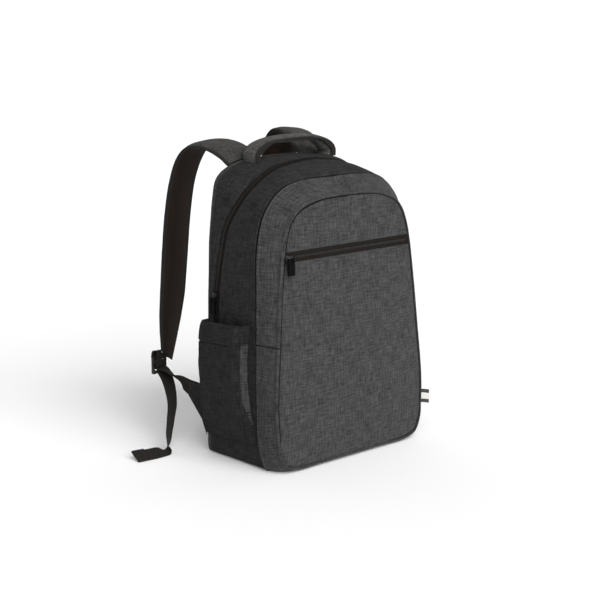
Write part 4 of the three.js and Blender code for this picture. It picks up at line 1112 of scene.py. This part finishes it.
# Smooth band frames through rows of place, width direction, width and thickness
def bandFrames(places, acrosses, widths, thicknesses, steps, spacing):
    curve, turn = spline(places, steps), spline(acrosses, steps)
    t = np.linspace(0, len(places) - 1, len(curve))
    wide = np.interp(t, np.arange(len(places)), widths)
    thick = np.interp(t, np.arange(len(places)), thicknesses)
    run = runOf(curve)
    wanted = np.linspace(0, run[-1], int(run[-1] / spacing) + 1)
    curve, turn = atRun(curve, run, wanted), atRun(turn, run, wanted)
    along = unit(np.gradient(curve, axis=0))
    across = unit(turn - along * np.sum(turn * along, axis=1, keepdims=True))
    normal = np.cross(along, across)
    return (curve, across, normal, np.interp(wanted, run, wide),
            np.interp(wanted, run, thick), wanted)


# Closed band from frames: the section gives places across and off the middle in metres
def bandMesh(curve, across, normal, sides, offs, run):
    n, k = sides.shape
    corners = (curve[:, None, :] + across[:, None, :] * sides[:, :, None]
               + normal[:, None, :] * offs[:, :, None])
    index = np.arange(n * k).reshape(n, k)
    after = np.roll(index, -1, 1)
    faces = np.stack([index[:-1], index[1:], after[1:], after[:-1]], -1).reshape(-1, 4)
    flat = np.stack([sides, np.broadcast_to(run[:, None], sides.shape)], -1).reshape(-1, 2)
    caps = np.array([index[0][::-1], index[-1]])
    return corners.reshape(-1, 3), [faces, caps], flat


handle = {"span": 0.158, "rise": 0.026, "width": 0.036, "pad": 8 * mm, "back": 0.024,
          "binding": 4.5 * mm, "puff": 1.2 * mm}
handleRows = ((1.00, 0.25, 1.00, 1.0), (0.93, 0.52, 1.00, 1.0), (0.75, 0.80, 1.00, 1.1),
              (0.50, 0.95, 0.96, 1.3), (0.25, 0.99, 0.92, 1.5), (0.00, 1.00, 0.90, 1.6))


# Section of a padded band with bound edges, from one edge over the top and back below
def paddedSection(width, thick, edge, binding, fullness):
    turns = np.linspace(0, 2 * math.pi, 49)[:-1]
    u = np.sign(np.cos(turns)) * np.abs(np.cos(turns)) ** 0.7
    u = np.where(np.abs(u) > 0.999, np.sign(u) * 0.999, u)
    sides = u[None, :] * width[:, None] / 2
    inner = width[:, None] / 2 - binding
    reach = np.clip(np.abs(sides) / inner, 0, 1)
    puffed = (thick[:, None] / 2 - edge) * (1 - reach ** fullness) ** 0.6
    beyond = np.clip((np.abs(sides) - inner) / binding, 0, 1)
    rim = edge * (1 - beyond ** 4) ** 0.5 + 0.35 * mm * (beyond > 0) * (1 - beyond ** 4)
    offs = np.sign(np.sin(turns) + 1e-9)[None, :] * (puffed + rim)
    onEdge = np.abs(sides) > inner
    return sides, offs, onEdge


def bandFinish(onEdge, offs, ends=2):
    # 0 outer cloth, 1 inner cloth, 2 binding, for each face of the band
    n, k = onEdge.shape
    both = onEdge & np.roll(onEdge, -1, 1)
    lower = (offs + np.roll(offs, -1, 1)) > 0
    kind = np.where(both, 2, np.where(lower, 1, 0))[:-1]
    return np.concatenate([kind.ravel(), np.full(ends, 2)])


def buildHandle():
    y = bag["back"] - handle["back"]
    rows = [(-out * handle["span"] / 2, y, bag["height"] + rise * handle["rise"], w, p)
            for out, rise, w, p in handleRows]
    rows = rows + [(-x, y, z, w, p) for x, y, z, w, p in rows[:-1][::-1]]
    foot = topOf(-handle["span"] / 2, y) + 2.5 * mm
    rows = [(rows[0][0], y, foot, 1, 1)] + rows + [(rows[-1][0], y, foot, 1, 1)]
    rows = np.array(rows)
    across = np.broadcast_to(np.array([0.0, 1.0, 0.0]), (len(rows), 3))
    curve, side, normal, width, thick, run = bandFrames(
        rows[:, :3], across, rows[:, 3] * handle["width"], rows[:, 4] * handle["pad"], 12, 2 * mm)
    sides, offs, onEdge = paddedSection(width, thick, 1.8 * mm, handle["binding"], 2.2)
    u = np.broadcast_to(run[:, None], sides.shape)
    foot = np.clip((np.abs(curve[:, 0]) / (handle["span"] / 2) - 0.55) / 0.35, 0, 1)[:, None]
    offs = np.where(offs < 0, offs * (1 + 2.5 * foot), offs)
    offs = offs * (1 + 0.10 * uneven(u, sides, 16 * mm, 4))
    offs = offs + 0.3 * mm * uneven(u, sides, 9 * mm, 6)
    corners, groups, flat = bandMesh(curve, side, normal, sides, offs, run)
    piece = meshPiece("haulHandle", corners, groups, flat, ["handle", "handle", "binding"],
                      bandFinish(onEdge, offs), 60)
    held = onEdge.copy()
    held[:3], held[-3:] = True, True
    puff(piece, held.ravel(), handle["puff"])
    belong(piece, "front_fabric", "haul_handle")
    for edge in (-1, 1):
        path = curve + side * (edge * (width / 2 - handle["binding"] - 0.4 * mm))[:, None]
        sew(path + normal * 3.0 * mm, normal)
    print("handle")


strap = {
    "width": 0.065, "pad": 11 * mm, "seat": 1 * mm, "binding": 6 * mm, "puff": 1.5 * mm,
    "left": {"reach": 0.140, "arch": 0.016, "end": 0.138},
    "right": {"reach": 0.100, "arch": 0.030, "end": 0.112}
}
# Shoulder strap from its seam to its lower end: out, behind, rise, arch, width, yaw, tilt
strapRows = (
    (0.480, 0.000, 0.976, 0.00, 0.96, 0, 9), (0.480, 0.150, 1.000, 0.25, 1.00, 4, 9),
    (0.482, 0.360, 1.000, 0.78, 1.00, 6, 8), (0.490, 0.580, 1.000, 0.92, 1.00, 8, 6),
    (0.505, 0.770, 0.998, 0.50, 1.00, 10, 4), (0.530, 0.895, 0.955, 0.00, 1.00, 12, 0),
    (0.565, 0.970, 0.845, 0.00, 1.00, 14, -2), (0.620, 0.985, 0.684, 0.00, 1.00, 14, -4),
    (0.690, 0.955, 0.474, 0.00, 1.00, 14, -6), (0.755, 0.920, 0.281, 0.00, 0.98, 15, -10),
    (0.810, 0.895, 0.160, 0.00, 0.90, 17, -16), (0.860, 0.865, 0.070, 0.00, 0.76, 19, -26),
    (0.905, 0.830, 0.000, 0.00, 0.56, 20, -34))
lock = {"width": 0.034, "length": 0.028, "thick": 5.5 * mm, "bar": 3.4 * mm, "middle": 6 * mm,
        "play": 0.6 * mm, "gap": 0.8 * mm, "yaw": 15, "narrowing": (0.87, 0.96),
        "thinned": 0.82, "bent": 0.55 * mm}
webbing = {"width": 0.025, "thick": 1.6 * mm, "tailSeat": 0.17, "seat": 0.63,
           "spread": 0.112, "forward": 0.084, "fold": 24 * mm, "foldLift": 1.75 * mm}
wing = {"reach": 0.042, "height": 0.105, "endHigh": 0.89, "thick": 3 * mm, "lap": 2 * mm,
        "stitch": 0.86}
tabRows = ((2.40, 1.30, 0.100, 0.40), (1.00, 1.30, 0.040, 0.10), (-0.28, 1.00, 0.005, 0.0),
           (-0.90, 0.00, 0.0, 0.0), (-0.28, -1.00, 0.0, 0.0), (1.00, -1.15, 0.030, 0.10),
           (2.30, -0.95, 0.090, 0.35))
# Webbing over the lock's middle bar: up and back from the middle of the lock, in millimetres
saddleRows = ((4.4, 3.4), (4.5, 0.8), (4.2, -2.6), (2.4, -4.3), (-1.6, -4.3), (-3.6, -2.6),
              (-4.1, 0.6), (-4.1, 3.0))
webbingRows = ((0.00, 1.00), (0.22, 0.80), (0.45, 0.40), (0.70, 0.33), (0.88, 0.16),
               (1.00, 0.00))
# Loose end from the lock to the floor: aside, forward, drop, yaw, tilt
tailRows = (
    (0.000, 0.00, 0.000, 15, 0), (-0.003, 0.06, 0.022, 15, 0), (0.015, 0.16, 0.058, 17, 0),
    (0.055, 0.30, 0.115, 20, 0), (0.12, 0.49, 0.230, 23, 0), (0.19, 0.65, 0.380, 26, 0),
    (0.30, 0.79, 0.585, 30, 0), (0.38, 0.88, 0.745, 34, 0), (0.43, 0.94, 0.860, 42, 2),
    (0.48, 0.97, 0.950, 56, 8), (0.56, 0.99, 1.000, 72, 16), (0.72, 1.00, 1.000, 85, 22),
    (1.00, 0.96, 1.000, 97, 24))


def turned(yaw, tilt):
    yaw, tilt = math.radians(yaw), math.radians(tilt)
    return np.array([math.cos(yaw) * math.cos(tilt), math.sin(yaw) * math.cos(tilt),
                     math.sin(tilt)])


# Half section of webbing from its edge inwards: off the middle and height, as shares
tapeEdge = ((0.5, 0.0), (0.497, 0.34), (0.475, 0.56), (0.44, 0.52), (0.40, 0.42), (0.2, 0.44))


def tapeBand(places, acrosses, steps=10, spacing=2 * mm):
    n = len(places)
    curve, across, normal, width, thick, run = bandFrames(
        np.array(places), np.array(acrosses), np.full(n, webbing["width"]),
        np.full(n, webbing["thick"]), steps, spacing)
    edge, rise = np.array(tapeEdge).T
    sides = np.concatenate([-edge, [0], edge[::-1], edge[1:], [0], -edge[:0:-1]])
    rise = np.concatenate([rise, [0.44], rise[::-1]])
    offs = np.concatenate([rise, -rise[-2:0:-1]])
    return curve, across, normal, sides * width[:, None], offs * thick[:, None], run


def tapePiece(name, node, side, band, lift=True):
    corners, groups, flat = bandMesh(*band)
    if lift:
        rings = corners.reshape(len(band[0]), -1, 3)
        rings[:, :, 2] += np.maximum(0, 0.2 * mm - rings[:, :, 2].min(1))[:, None]
        corners = rings.reshape(-1, 3)
    piece = meshPiece(name + side.capitalize(), sided(side, corners), groups, flat, "webbing",
                      angle=70)
    belong(piece, "webbing", *([node + "_" + side] if node else []))


def addModifier(piece, kind, **settings):
    onlyThis(piece)
    modifier = piece.modifiers.new(kind.lower(), kind)
    for key, value in settings.items():
        setattr(modifier, key, value)
    bpy.ops.object.modifier_apply(modifier=modifier.name)


# Goes into edit mode with the faces selected whose middles pass the test
def selectFaces(piece, test):
    bpy.ops.object.mode_set(mode="EDIT")
    bpy.ops.mesh.select_mode(type="FACE")
    bpy.ops.mesh.select_all(action="DESELECT")
    shape = bmesh.from_edit_mesh(piece.data)
    for face in shape.faces:
        face.select_set(test(face.calc_center_median()))
    bmesh.update_edit_mesh(piece.data)


# Plate of even thickness with its lines at xs and ys, open where the test finds a hole
def plate(xs, ys, isHole, thickness, narrowing=()):
    bpy.ops.object.select_all(action="DESELECT")
    columns, rows = len(xs) - 1, len(ys) - 1
    bpy.ops.mesh.primitive_grid_add(x_subdivisions=columns, y_subdivisions=rows, size=1)
    piece = bpy.context.active_object
    for vertex in piece.data.vertices:
        i, j = round((vertex.co.x + 0.5) * columns), round((vertex.co.y + 0.5) * rows)
        narrow = narrowing[j] if j < len(narrowing) and i in (0, columns) else 1
        vertex.co = (xs[i] * narrow, ys[j], 0)
    selectFaces(piece, isHole)
    bpy.ops.mesh.delete(type="FACE")
    bpy.ops.object.mode_set(mode="OBJECT")
    addModifier(piece, "SOLIDIFY", thickness=thickness, offset=0)
    return piece


def finishRigid(piece, name, matrix, finish, angle, slot, node):
    piece.name = name
    piece.data.transform(matrix)
    if matrix.determinant() < 0:
        piece.data.flip_normals()
    piece.data.materials.clear()
    piece.data.materials.append(finishes[finish])
    smooth(piece, angle)
    belong(piece, slot, node)


def basis(x, y, z, place):
    return Matrix([[x[k], y[k], z[k], place[k]] for k in range(3)] + [[0, 0, 0, 1]])


# Ladder lock: a frame with two slots, narrower at its foot and thinner in its middle
def lockPiece(side, matrix):
    wide, tall, middle = lock["width"] / 2, lock["length"] / 2, lock["middle"] / 2
    slotWide = (webbing["width"] + lock["play"]) / 2
    piece = plate([-wide, -slotWide, -slotWide * 0.5, slotWide * 0.5, slotWide, wide],
                  [-tall, -tall + lock["bar"], -middle, middle, tall - lock["bar"], tall],
                  lambda at: middle < abs(at.y) < tall - lock["bar"] and abs(at.x) < slotWide,
                  lock["thick"], lock["narrowing"])
    for vertex in piece.data.vertices:
        if abs(vertex.co.y) < lock["middle"]:
            vertex.co.z *= lock["thinned"]
        bent = lock["bent"] * (vertex.co.y / tall) ** 2
        vertex.co.z += bent if vertex.co.y > 0 else -bent
    addModifier(piece, "BEVEL", width=1.0 * mm, segments=3, limit_method="ANGLE",
                angle_limit=math.radians(30))
    finishRigid(piece, "ladderLock" + side.capitalize(), matrix, "plastic", 35,
                "moulded_black", "ladder_lock_" + side)


def buildStrap(side):
    way = strap[side]
    rows = np.array(strapRows)
    z = way["end"] + (bag["height"] - way["end"]) * rows[:, 2] + rows[:, 3] * way["arch"]
    places = np.stack([-rows[:, 0] * bag["half"],
                       bag["back"] + strap["seat"] + rows[:, 1] * way["reach"], z], 1)
    acrosses = np.array([turned(yaw, tilt) for yaw, tilt in rows[:, 5:7]])
    curve, across, normal, width, thick, run = bandFrames(
        places, acrosses, rows[:, 4] * strap["width"], np.full(len(rows), strap["pad"]),
        14, 2.4 * mm)
    sides, offs, onEdge = paddedSection(width, thick, 1.7 * mm, strap["binding"], 3.5)
    u = np.broadcast_to(run[:, None], sides.shape)
    inner = np.clip(1 - np.abs(sides) / (width[:, None] / 2), 0, 1)
    hanging = np.clip((run - 0.12) / 0.05, 0, 1)[:, None]
    lengthways = uneven(sides, u * 0.12, 9 * mm, 14) * 0.9 * mm
    crossways = uneven(u, sides * 0.4, 20 * mm, 15) * 0.5 * mm
    soft = np.clip(inner * 3, 0, 1) * np.sign(offs)
    offs = offs + soft * (lengthways * hanging + crossways)
    corners, groups, flat = bandMesh(curve, across, normal, sides, offs, run)
    first = corners.reshape(len(curve), -1, 3)
    first[0, :, 1] = np.maximum(first[0, :, 1], bag["back"] + 0.4 * mm)
    slant = np.clip(1 - (run[-1] - run) / 0.045, 0, 1) ** 1.5
    along = unit(np.gradient(curve, axis=0))
    reach = sides / width[:, None] * 13 * mm + 8 * mm
    first += along[:, None, :] * (slant[:, None] * np.clip(reach, 0, 1))[:, :, None]
    piece = meshPiece("shoulderStrap" + side.capitalize(), sided(side, corners), groups, flat,
                      ["strap", "lining", "binding"], bandFinish(onEdge, offs), 60)
    held = onEdge.copy()
    held[:4], held[-4:] = True, True
    puff(piece, held.ravel(), strap["puff"])
    belong(piece, "strap_fabric", "shoulder_strap_" + side)
    for edge in (-1, 1):
        for face in (-1, 1):
            path = curve + across * (edge * (width / 2 - strap["binding"] + 1.2 * mm))[:, None]
            path = (path + normal * face * 2.4 * mm)[2:-2]
            sew(sided(side, path), sided(side, (normal * face)[2:-2]))
    return places, acrosses


def buildHarness(side):
    places, acrosses = buildStrap(side)
    end = places[-1]
    across = turned(lock["yaw"], 0)
    upward = np.array([0, 0, 1.0])
    backward = np.cross(upward, across)
    centre = end + np.array([-lock["width"] * 0.4, lock["thick"] * 0.7, -lock["length"] * 0.8])

    def inLock(up, back, aside=0.0):
        return centre + upward * up + backward * back + across * aside

    lockPiece(side, basis(*(sided(side, way) for way in (across, upward, -backward, centre))))

    clear = lock["thick"] / 2 + webbing["thick"] / 2 + lock["gap"]
    slotTop = lock["length"] / 2 - lock["bar"]
    smoothPlaces, smoothAcross = spline(places, 2), spline(acrosses, 2)
    down = unit(smoothPlaces[-1] - smoothPlaces[-2])
    last = smoothAcross[-1] / np.linalg.norm(smoothAcross[-1])
    endAcross = unit(last - down * np.dot(last, down))
    start = end + down * bag["gap"] + endAcross * (webbing["width"] - 0.56 * strap["width"]) / 2
    below = start + down * webbing["thick"] * 2
    tab = [inLock(slotTop + up * lock["bar"], back * clear, aside * lock["width"])
           for up, back, aside, _ in tabRows]
    slanted = lambda share: unit(across * (1 - share) + endAcross * share)
    band = tapeBand([start, below, (below + tab[0]) / 2] + tab,
                    [endAcross, endAcross, slanted(0.8)] + [slanted(row[3]) for row in tabRows])
    tapePiece("strapTab", "strap_tab", side, band, False)
    saddle = [inLock(up * mm, back * mm) for up, back in saddleRows]
    band = tapeBand(saddle, [across] * len(saddle), spacing=0.9 * mm)
    tapePiece("lockSaddle", None, side, band, False)

    slotLow = lock["bar"] - lock["length"] / 2
    slotAt = lambda share: slotLow + (-lock["middle"] / 2 - slotLow) * share
    wingEnd = np.array([-bag["half"], bag["back"] + wing["reach"],
                        wing["height"] * wing["endHigh"]])
    webOut = inLock(slotAt(webbing["seat"]), -clear)
    along = unit(webOut - wingEnd)
    wingAcross = unit(np.array([0, -along[2], along[1]]))
    webStart = wingEnd + along * bag["gap"]
    places = [webStart + (webOut - webStart) * share for share, _ in webbingRows]
    acrosses = [unit(-across * (1 - stand) + wingAcross * stand) for _, stand in webbingRows]
    band = tapeBand(places + [webOut + along * clear], acrosses + [-across])
    tapePiece("lowerWebbing", "lower_webbing", side, band, False)

    seat = inLock(slotAt(webbing["tailSeat"]), -clear)
    places, acrosses = [inLock(slotAt(webbing["tailSeat"]), 0)], [across]
    for aside, forward, drop, yaw, tilt in tailRows:
        lying = (webbing["width"] / 2 * math.sin(math.radians(tilt))
                 + webbing["thick"] / 2 * math.cos(math.radians(tilt)))
        places.append(np.array([seat[0] - aside * webbing["spread"],
                                seat[1] - forward * webbing["forward"],
                                max(seat[2] * (1 - drop), lying)]))
        acrosses.append(turned(yaw, tilt))
    band = tapeBand(places, acrosses)
    tapePiece("webbingTail", "webbing_tail", side, band)
    back = band[0] + band[2] * np.sign(band[2][:, 2:3]) * webbing["foldLift"]
    count = int(webbing["fold"] / (band[5][1] - band[5][0]))
    fold = (back[-count:], *[values[-count:] for values in band[1:]])
    fold[0][:, 2] += 0.2 * mm
    tapePiece("tailFold", None, side, fold)
    seam = fold[0][3] + fold[1][3] * np.linspace(-0.011, 0.011, 9)[:, None]
    seam = seam + np.array([0, 0, 1.0 * mm])
    sew(sided(side, seam), np.array([0, 0, 1.0]))

    buildWing(side, wingEnd, wingAcross)
    print("harness", side)


def buildWing(side, end, across):
    seam = bag["back"] + bag["gap"]
    corner = across * webbing["width"] / 2
    high, low = (end + corner)[[1, 2]], (end - corner)[[1, 2]]
    # the cloth laps over the webbing's end
    beyond = unit(np.array([corner[2], -corner[1]]))
    beyond = beyond * np.sign(beyond[0]) * wing["lap"]
    high, low = high + beyond, low + beyond
    height = wing["height"]
    rim = np.array([(seam, 0.24 * height), (seam + 0.25 * (low[0] - seam), 0.46 * height),
                    low, high, (seam, height)])
    rim = np.concatenate([evenly(np.array([a, b]), 2.5 * mm)[:-1]
                          for a, b in zip(rim, np.roll(rim, -1, 0))])
    places, faces = flatMesh(rim, 3.5 * mm, np.array([0.5, 1.2, 2.1, 3.2]) * mm)
    near = distanceTo(places, np.concatenate([rim, rim[:1]]))
    y, z = places[:, 0], places[:, 1]
    belly = (0.9 * mm * np.sqrt(np.clip(near / (1.5 * mm), 0, 1))
             - 0.45 * mm * bell(near, 3.2 * mm, 0.6 * mm)
             + 0.5 * mm * np.clip(near / (8 * mm), 0, 1) * (1 + 0.6 * uneven(y, z, 14 * mm, 8)))
    corners, groups = layered(*(np.stack([way * belly - bag["half"], y, z], 1) for way in (-1, 1)),
                              faces)
    piece = meshPiece("strapWing" + side.capitalize(), sided(side, corners), groups, places,
                      "side")
    belong(piece, "side_fabric", "strap_wing_" + side)
    centre = rim.mean(0)
    line = centre + (rim - centre) * wing["stitch"]
    path = np.insert(np.concatenate([line, line[:1]]), 0, -bag["half"] - 0.9 * mm, 1)
    sew(sided(side, path), sided(side, np.array([-1, 0, 0])))


label = {"height": 0.066, "width": 0.022, "reach": 0.020, "thick": 0.9 * mm}


def buildLabel():
    heights = label["height"] + np.array([-0.5, 0, 0.5]) * label["width"]
    rows = at(frontSeam, np.linspace(3, 16, 2400))
    edge = np.max(np.interp(heights, rows[:, 2], -rows[:, 0])) + bag["gap"]
    y = frontFace(label["height"]) + label["thick"] + bag["gap"]
    turn = np.linspace(-math.pi / 2, math.pi / 2, 9)
    loop = ([(x, -0.55) for x in np.linspace(0, label["reach"] - 0.8 * mm, 10)]
            + [(label["reach"] - 0.8 * mm + 0.55 * mm * math.cos(a), 0.55 * math.sin(a))
               for a in turn[1:-1]]
            + [(x, 0.55) for x in np.linspace(label["reach"] - 0.8 * mm, 0, 10)])
    loop = np.array([(x, off * mm) for x, off in loop])
    run = runOf(loop)
    up = np.linspace(0, 1, 12)
    way = np.gradient(loop, axis=0)
    normal = unit(np.stack([way[:, 1], -way[:, 0]], 1))
    grid = np.zeros((len(loop), len(up), 3))
    grid[:, :, 0] = edge + loop[:, :1]
    grid[:, :, 1] = y + loop[:, 1:] + 0.4 * mm * (loop[:, :1] / label["reach"]) ** 2
    grid[:, :, 2] = label["height"] + (up[None, :] - 0.5) * label["width"]
    grid[:, :, 2] -= 5 * mm * (loop[:, :1] / label["reach"]) ** 1.2
    sunk = grid.copy()
    sunk[:, :, 0] -= normal[:, :1] * 0.35 * mm
    sunk[:, :, 1] -= normal[:, 1:] * 0.35 * mm
    flat = np.stack(np.broadcast_arrays(run[:, None], up[None, :] * label["width"]), -1)
    shellPiece("labelLoop", (grid, sunk, flat), "label", "label", "label_loop")
    print("label")


slider = {"length": 13 * mm, "width": 9 * mm, "thick": 5 * mm, "taper": 0.6, "lift": 0.3 * mm}
puller = {"length": 25 * mm, "width": 12 * mm, "thick": 3.2 * mm, "overlap": 6 * mm}


# Two tapered plates on a post, with an upright ring for the puller
def sliderPiece(name, node, matrix):
    bpy.ops.object.select_all(action="DESELECT")
    parts = []
    for z, thick in ((0.8 * mm, 1.6 * mm), (3.9 * mm, 1.5 * mm)):
        bpy.ops.mesh.primitive_cube_add(size=1, location=(0, 0, z))
        part = bpy.context.active_object
        for vertex in part.data.vertices:
            narrow = slider["taper"] if vertex.co.y < 0 else 1
            vertex.co = (vertex.co.x * slider["width"] * narrow, vertex.co.y * slider["length"],
                         vertex.co.z * thick + z)
        part.location = (0, 0, 0)
        addModifier(part, "BEVEL", width=0.6 * mm, segments=3)
        parts.append(part)
    bpy.ops.mesh.primitive_cylinder_add(vertices=16, radius=1.5 * mm, depth=3.4 * mm,
                                        location=(0, 2.5 * mm, 2.3 * mm))
    parts.append(bpy.context.active_object)
    bpy.ops.mesh.primitive_torus_add(major_segments=28, minor_segments=10,
                                     major_radius=3.3 * mm, minor_radius=0.75 * mm,
                                     rotation=(0, math.pi / 2, 0), location=(0, 0, 4.2 * mm))
    ring = bpy.context.active_object
    parts.append(ring)
    for part in parts:
        part.select_set(True)
    bpy.context.view_layer.objects.active = parts[0]
    bpy.ops.object.transform_apply(location=True, rotation=True, scale=True)
    for vertex in ring.data.vertices:
        x, y, z = vertex.co
        vertex.co = (x * 1.5, y * 1.35, 4.4 * mm + (z - 4.2 * mm) * 0.72)
    bpy.ops.object.join()
    finishRigid(bpy.context.active_object, name, matrix, "metal", 40, "slider_metal", node)


# Flat tag with an eye at its top and a sunk field below it
def pullerPiece(name, node, matrix):
    wide, long, thick = puller["width"] / 2, puller["length"], puller["thick"]
    eyeTop, eyeLow = -1.6 * mm, -long * 0.24
    piece = plate([-wide, -wide * 0.62, -wide * 0.40, wide * 0.40, wide * 0.62, wide],
                  [-long, -long + 2 * mm, -long + 4 * mm, -long * 0.38, -long * 0.30, eyeLow,
                   eyeTop, 0],
                  lambda at: abs(at.x) < wide * 0.3 and eyeLow < at.y < eyeTop, thick)
    for vertex in piece.data.vertices:
        vertex.co.z += thick / 2
    selectFaces(piece, lambda at: abs(at.x) < wide * 0.5 and at.z > thick * 0.9
                and 3 * mm - long < at.y < -long * 0.36)
    bpy.ops.mesh.inset(thickness=0.5 * mm, depth=-0.6 * mm)
    bpy.ops.object.mode_set(mode="OBJECT")
    addModifier(piece, "BEVEL", width=0.55 * mm, segments=3, limit_method="ANGLE",
                angle_limit=math.radians(35))
    finishRigid(piece, name, matrix, "puller", 38, "moulded_black", node)


# Slider and puller at a place on a zip: away from the cloth, pull along the zip
def sliderSet(name, node, place, away, pull):
    seat = place + away * slider["lift"]
    sliderPiece(name + "Slider", node + "_slider",
                basis(unit(np.cross(pull, away)), pull, away, seat))
    hangSide = unit(np.cross(np.array([0, 0, 1.0]), away))
    hangUp = unit(np.cross(away, hangSide))
    top = (seat + away * (slider["thick"] + bag["gap"])
           + hangUp * (puller["overlap"] - slider["length"] / 2))
    pullerPiece(name + "Puller", node + "_puller", basis(hangSide, hangUp, away, top))


def buildSliders():
    t = np.linspace(7, 16, 3000)
    rows = at(zipSeam, t)
    i = np.argmax(rows[:, 2] >= mainTape["sliderHeight"])
    above = unit(rows[i + 4] - rows[i])
    sliderSet("mainZip", "main_zip", rows[i], np.array([-1.0, 0, 0]),
              unit(above * np.array([0, 1, 1])))
    rows = at(frontSeam, np.linspace(4, 14, 3000))
    i = np.argmax(rows[:, 2] >= frontZip["height"])
    place = rows[i] + np.array([bag["cadWall"] + slider["length"] / 2, 0, 0])
    sliderSet("frontZip", "front_zip", place, leaning, np.array([-1.0, 0, 0]))
    print("sliders")


studio = {"left": 0.32, "above": 0.42, "sun": 4.1, "spread": 70, "from": (-0.18, -0.85, 0.55)}


def buildStage():
    bpy.ops.object.select_all(action="DESELECT")
    bpy.ops.mesh.primitive_plane_add(size=60, location=(0, 0, 0))
    floor = bpy.context.active_object
    floor.name = "floor"
    floor.data.materials.append(paper("paleFloor", grey(0.97)))
    world = bpy.data.worlds.new("studio")
    bpy.context.scene.world = world
    world.use_nodes = True
    nodes, links = world.node_tree.nodes, world.node_tree.links
    # white behind the bag and round the horizon, dimmer on the near left and overhead
    way = nodes.new("ShaderNodeTexCoord")
    shades = []
    for direction, first, last in (((0.76, 0.65, 0.0), (0.0, studio["left"]), (0.5, 1.0)),
                                   ((0.0, 0.0, 1.0), (0.12, 1.0), (0.75, studio["above"])),
                                   ((0.0, 0.0, 1.0), (0.03, 1.0), (0.14, 0.0))):
        toward = nodes.new("ShaderNodeVectorMath")
        toward.operation = "DOT_PRODUCT"
        toward.inputs[1].default_value = direction
        ramp = nodes.new("ShaderNodeValToRGB")
        for element, (place, shade) in zip(ramp.color_ramp.elements, (first, last)):
            element.position, element.color = place, (shade, shade, shade, 1)
        links.new(way.outputs["Generated"], toward.inputs[0])
        links.new(toward.outputs["Value"], ramp.inputs[0])
        shades.append(ramp.outputs[0])
    for operation in ("MULTIPLY", "MAXIMUM"):
        both = nodes.new("ShaderNodeVectorMath")
        both.operation = operation
        links.new(shades.pop(0), both.inputs[0])
        links.new(shades.pop(0), both.inputs[1])
        shades.insert(0, both.outputs[0])
    links.new(shades[0], nodes["Background"].inputs["Color"])
    nodes["Background"].inputs["Strength"].default_value = 1.27
    bpy.ops.object.light_add(type="SUN", location=(1, -2, 2))
    key = bpy.context.active_object
    key.data.energy = studio["sun"]
    key.data.angle = math.radians(studio["spread"])
    key.rotation_euler = Vector(studio["from"]).to_track_quat("Z", "Y").to_euler()
    bpy.context.scene.view_settings.view_transform = "Standard"
    print("stage")


buildMainGussets()
buildPocketGussets()
buildBase()
buildFront()
buildBack()
buildZips()
buildSliders()
buildPockets()
buildHandle()
buildHarness("left")
buildHarness("right")
buildLabel()
corners, groups = joinParts(stitchParts)
piece = meshPiece("stitches", corners, groups, corners[:, [0, 2]], "thread", angle=70)
belong(piece, "webbing")
buildStage()
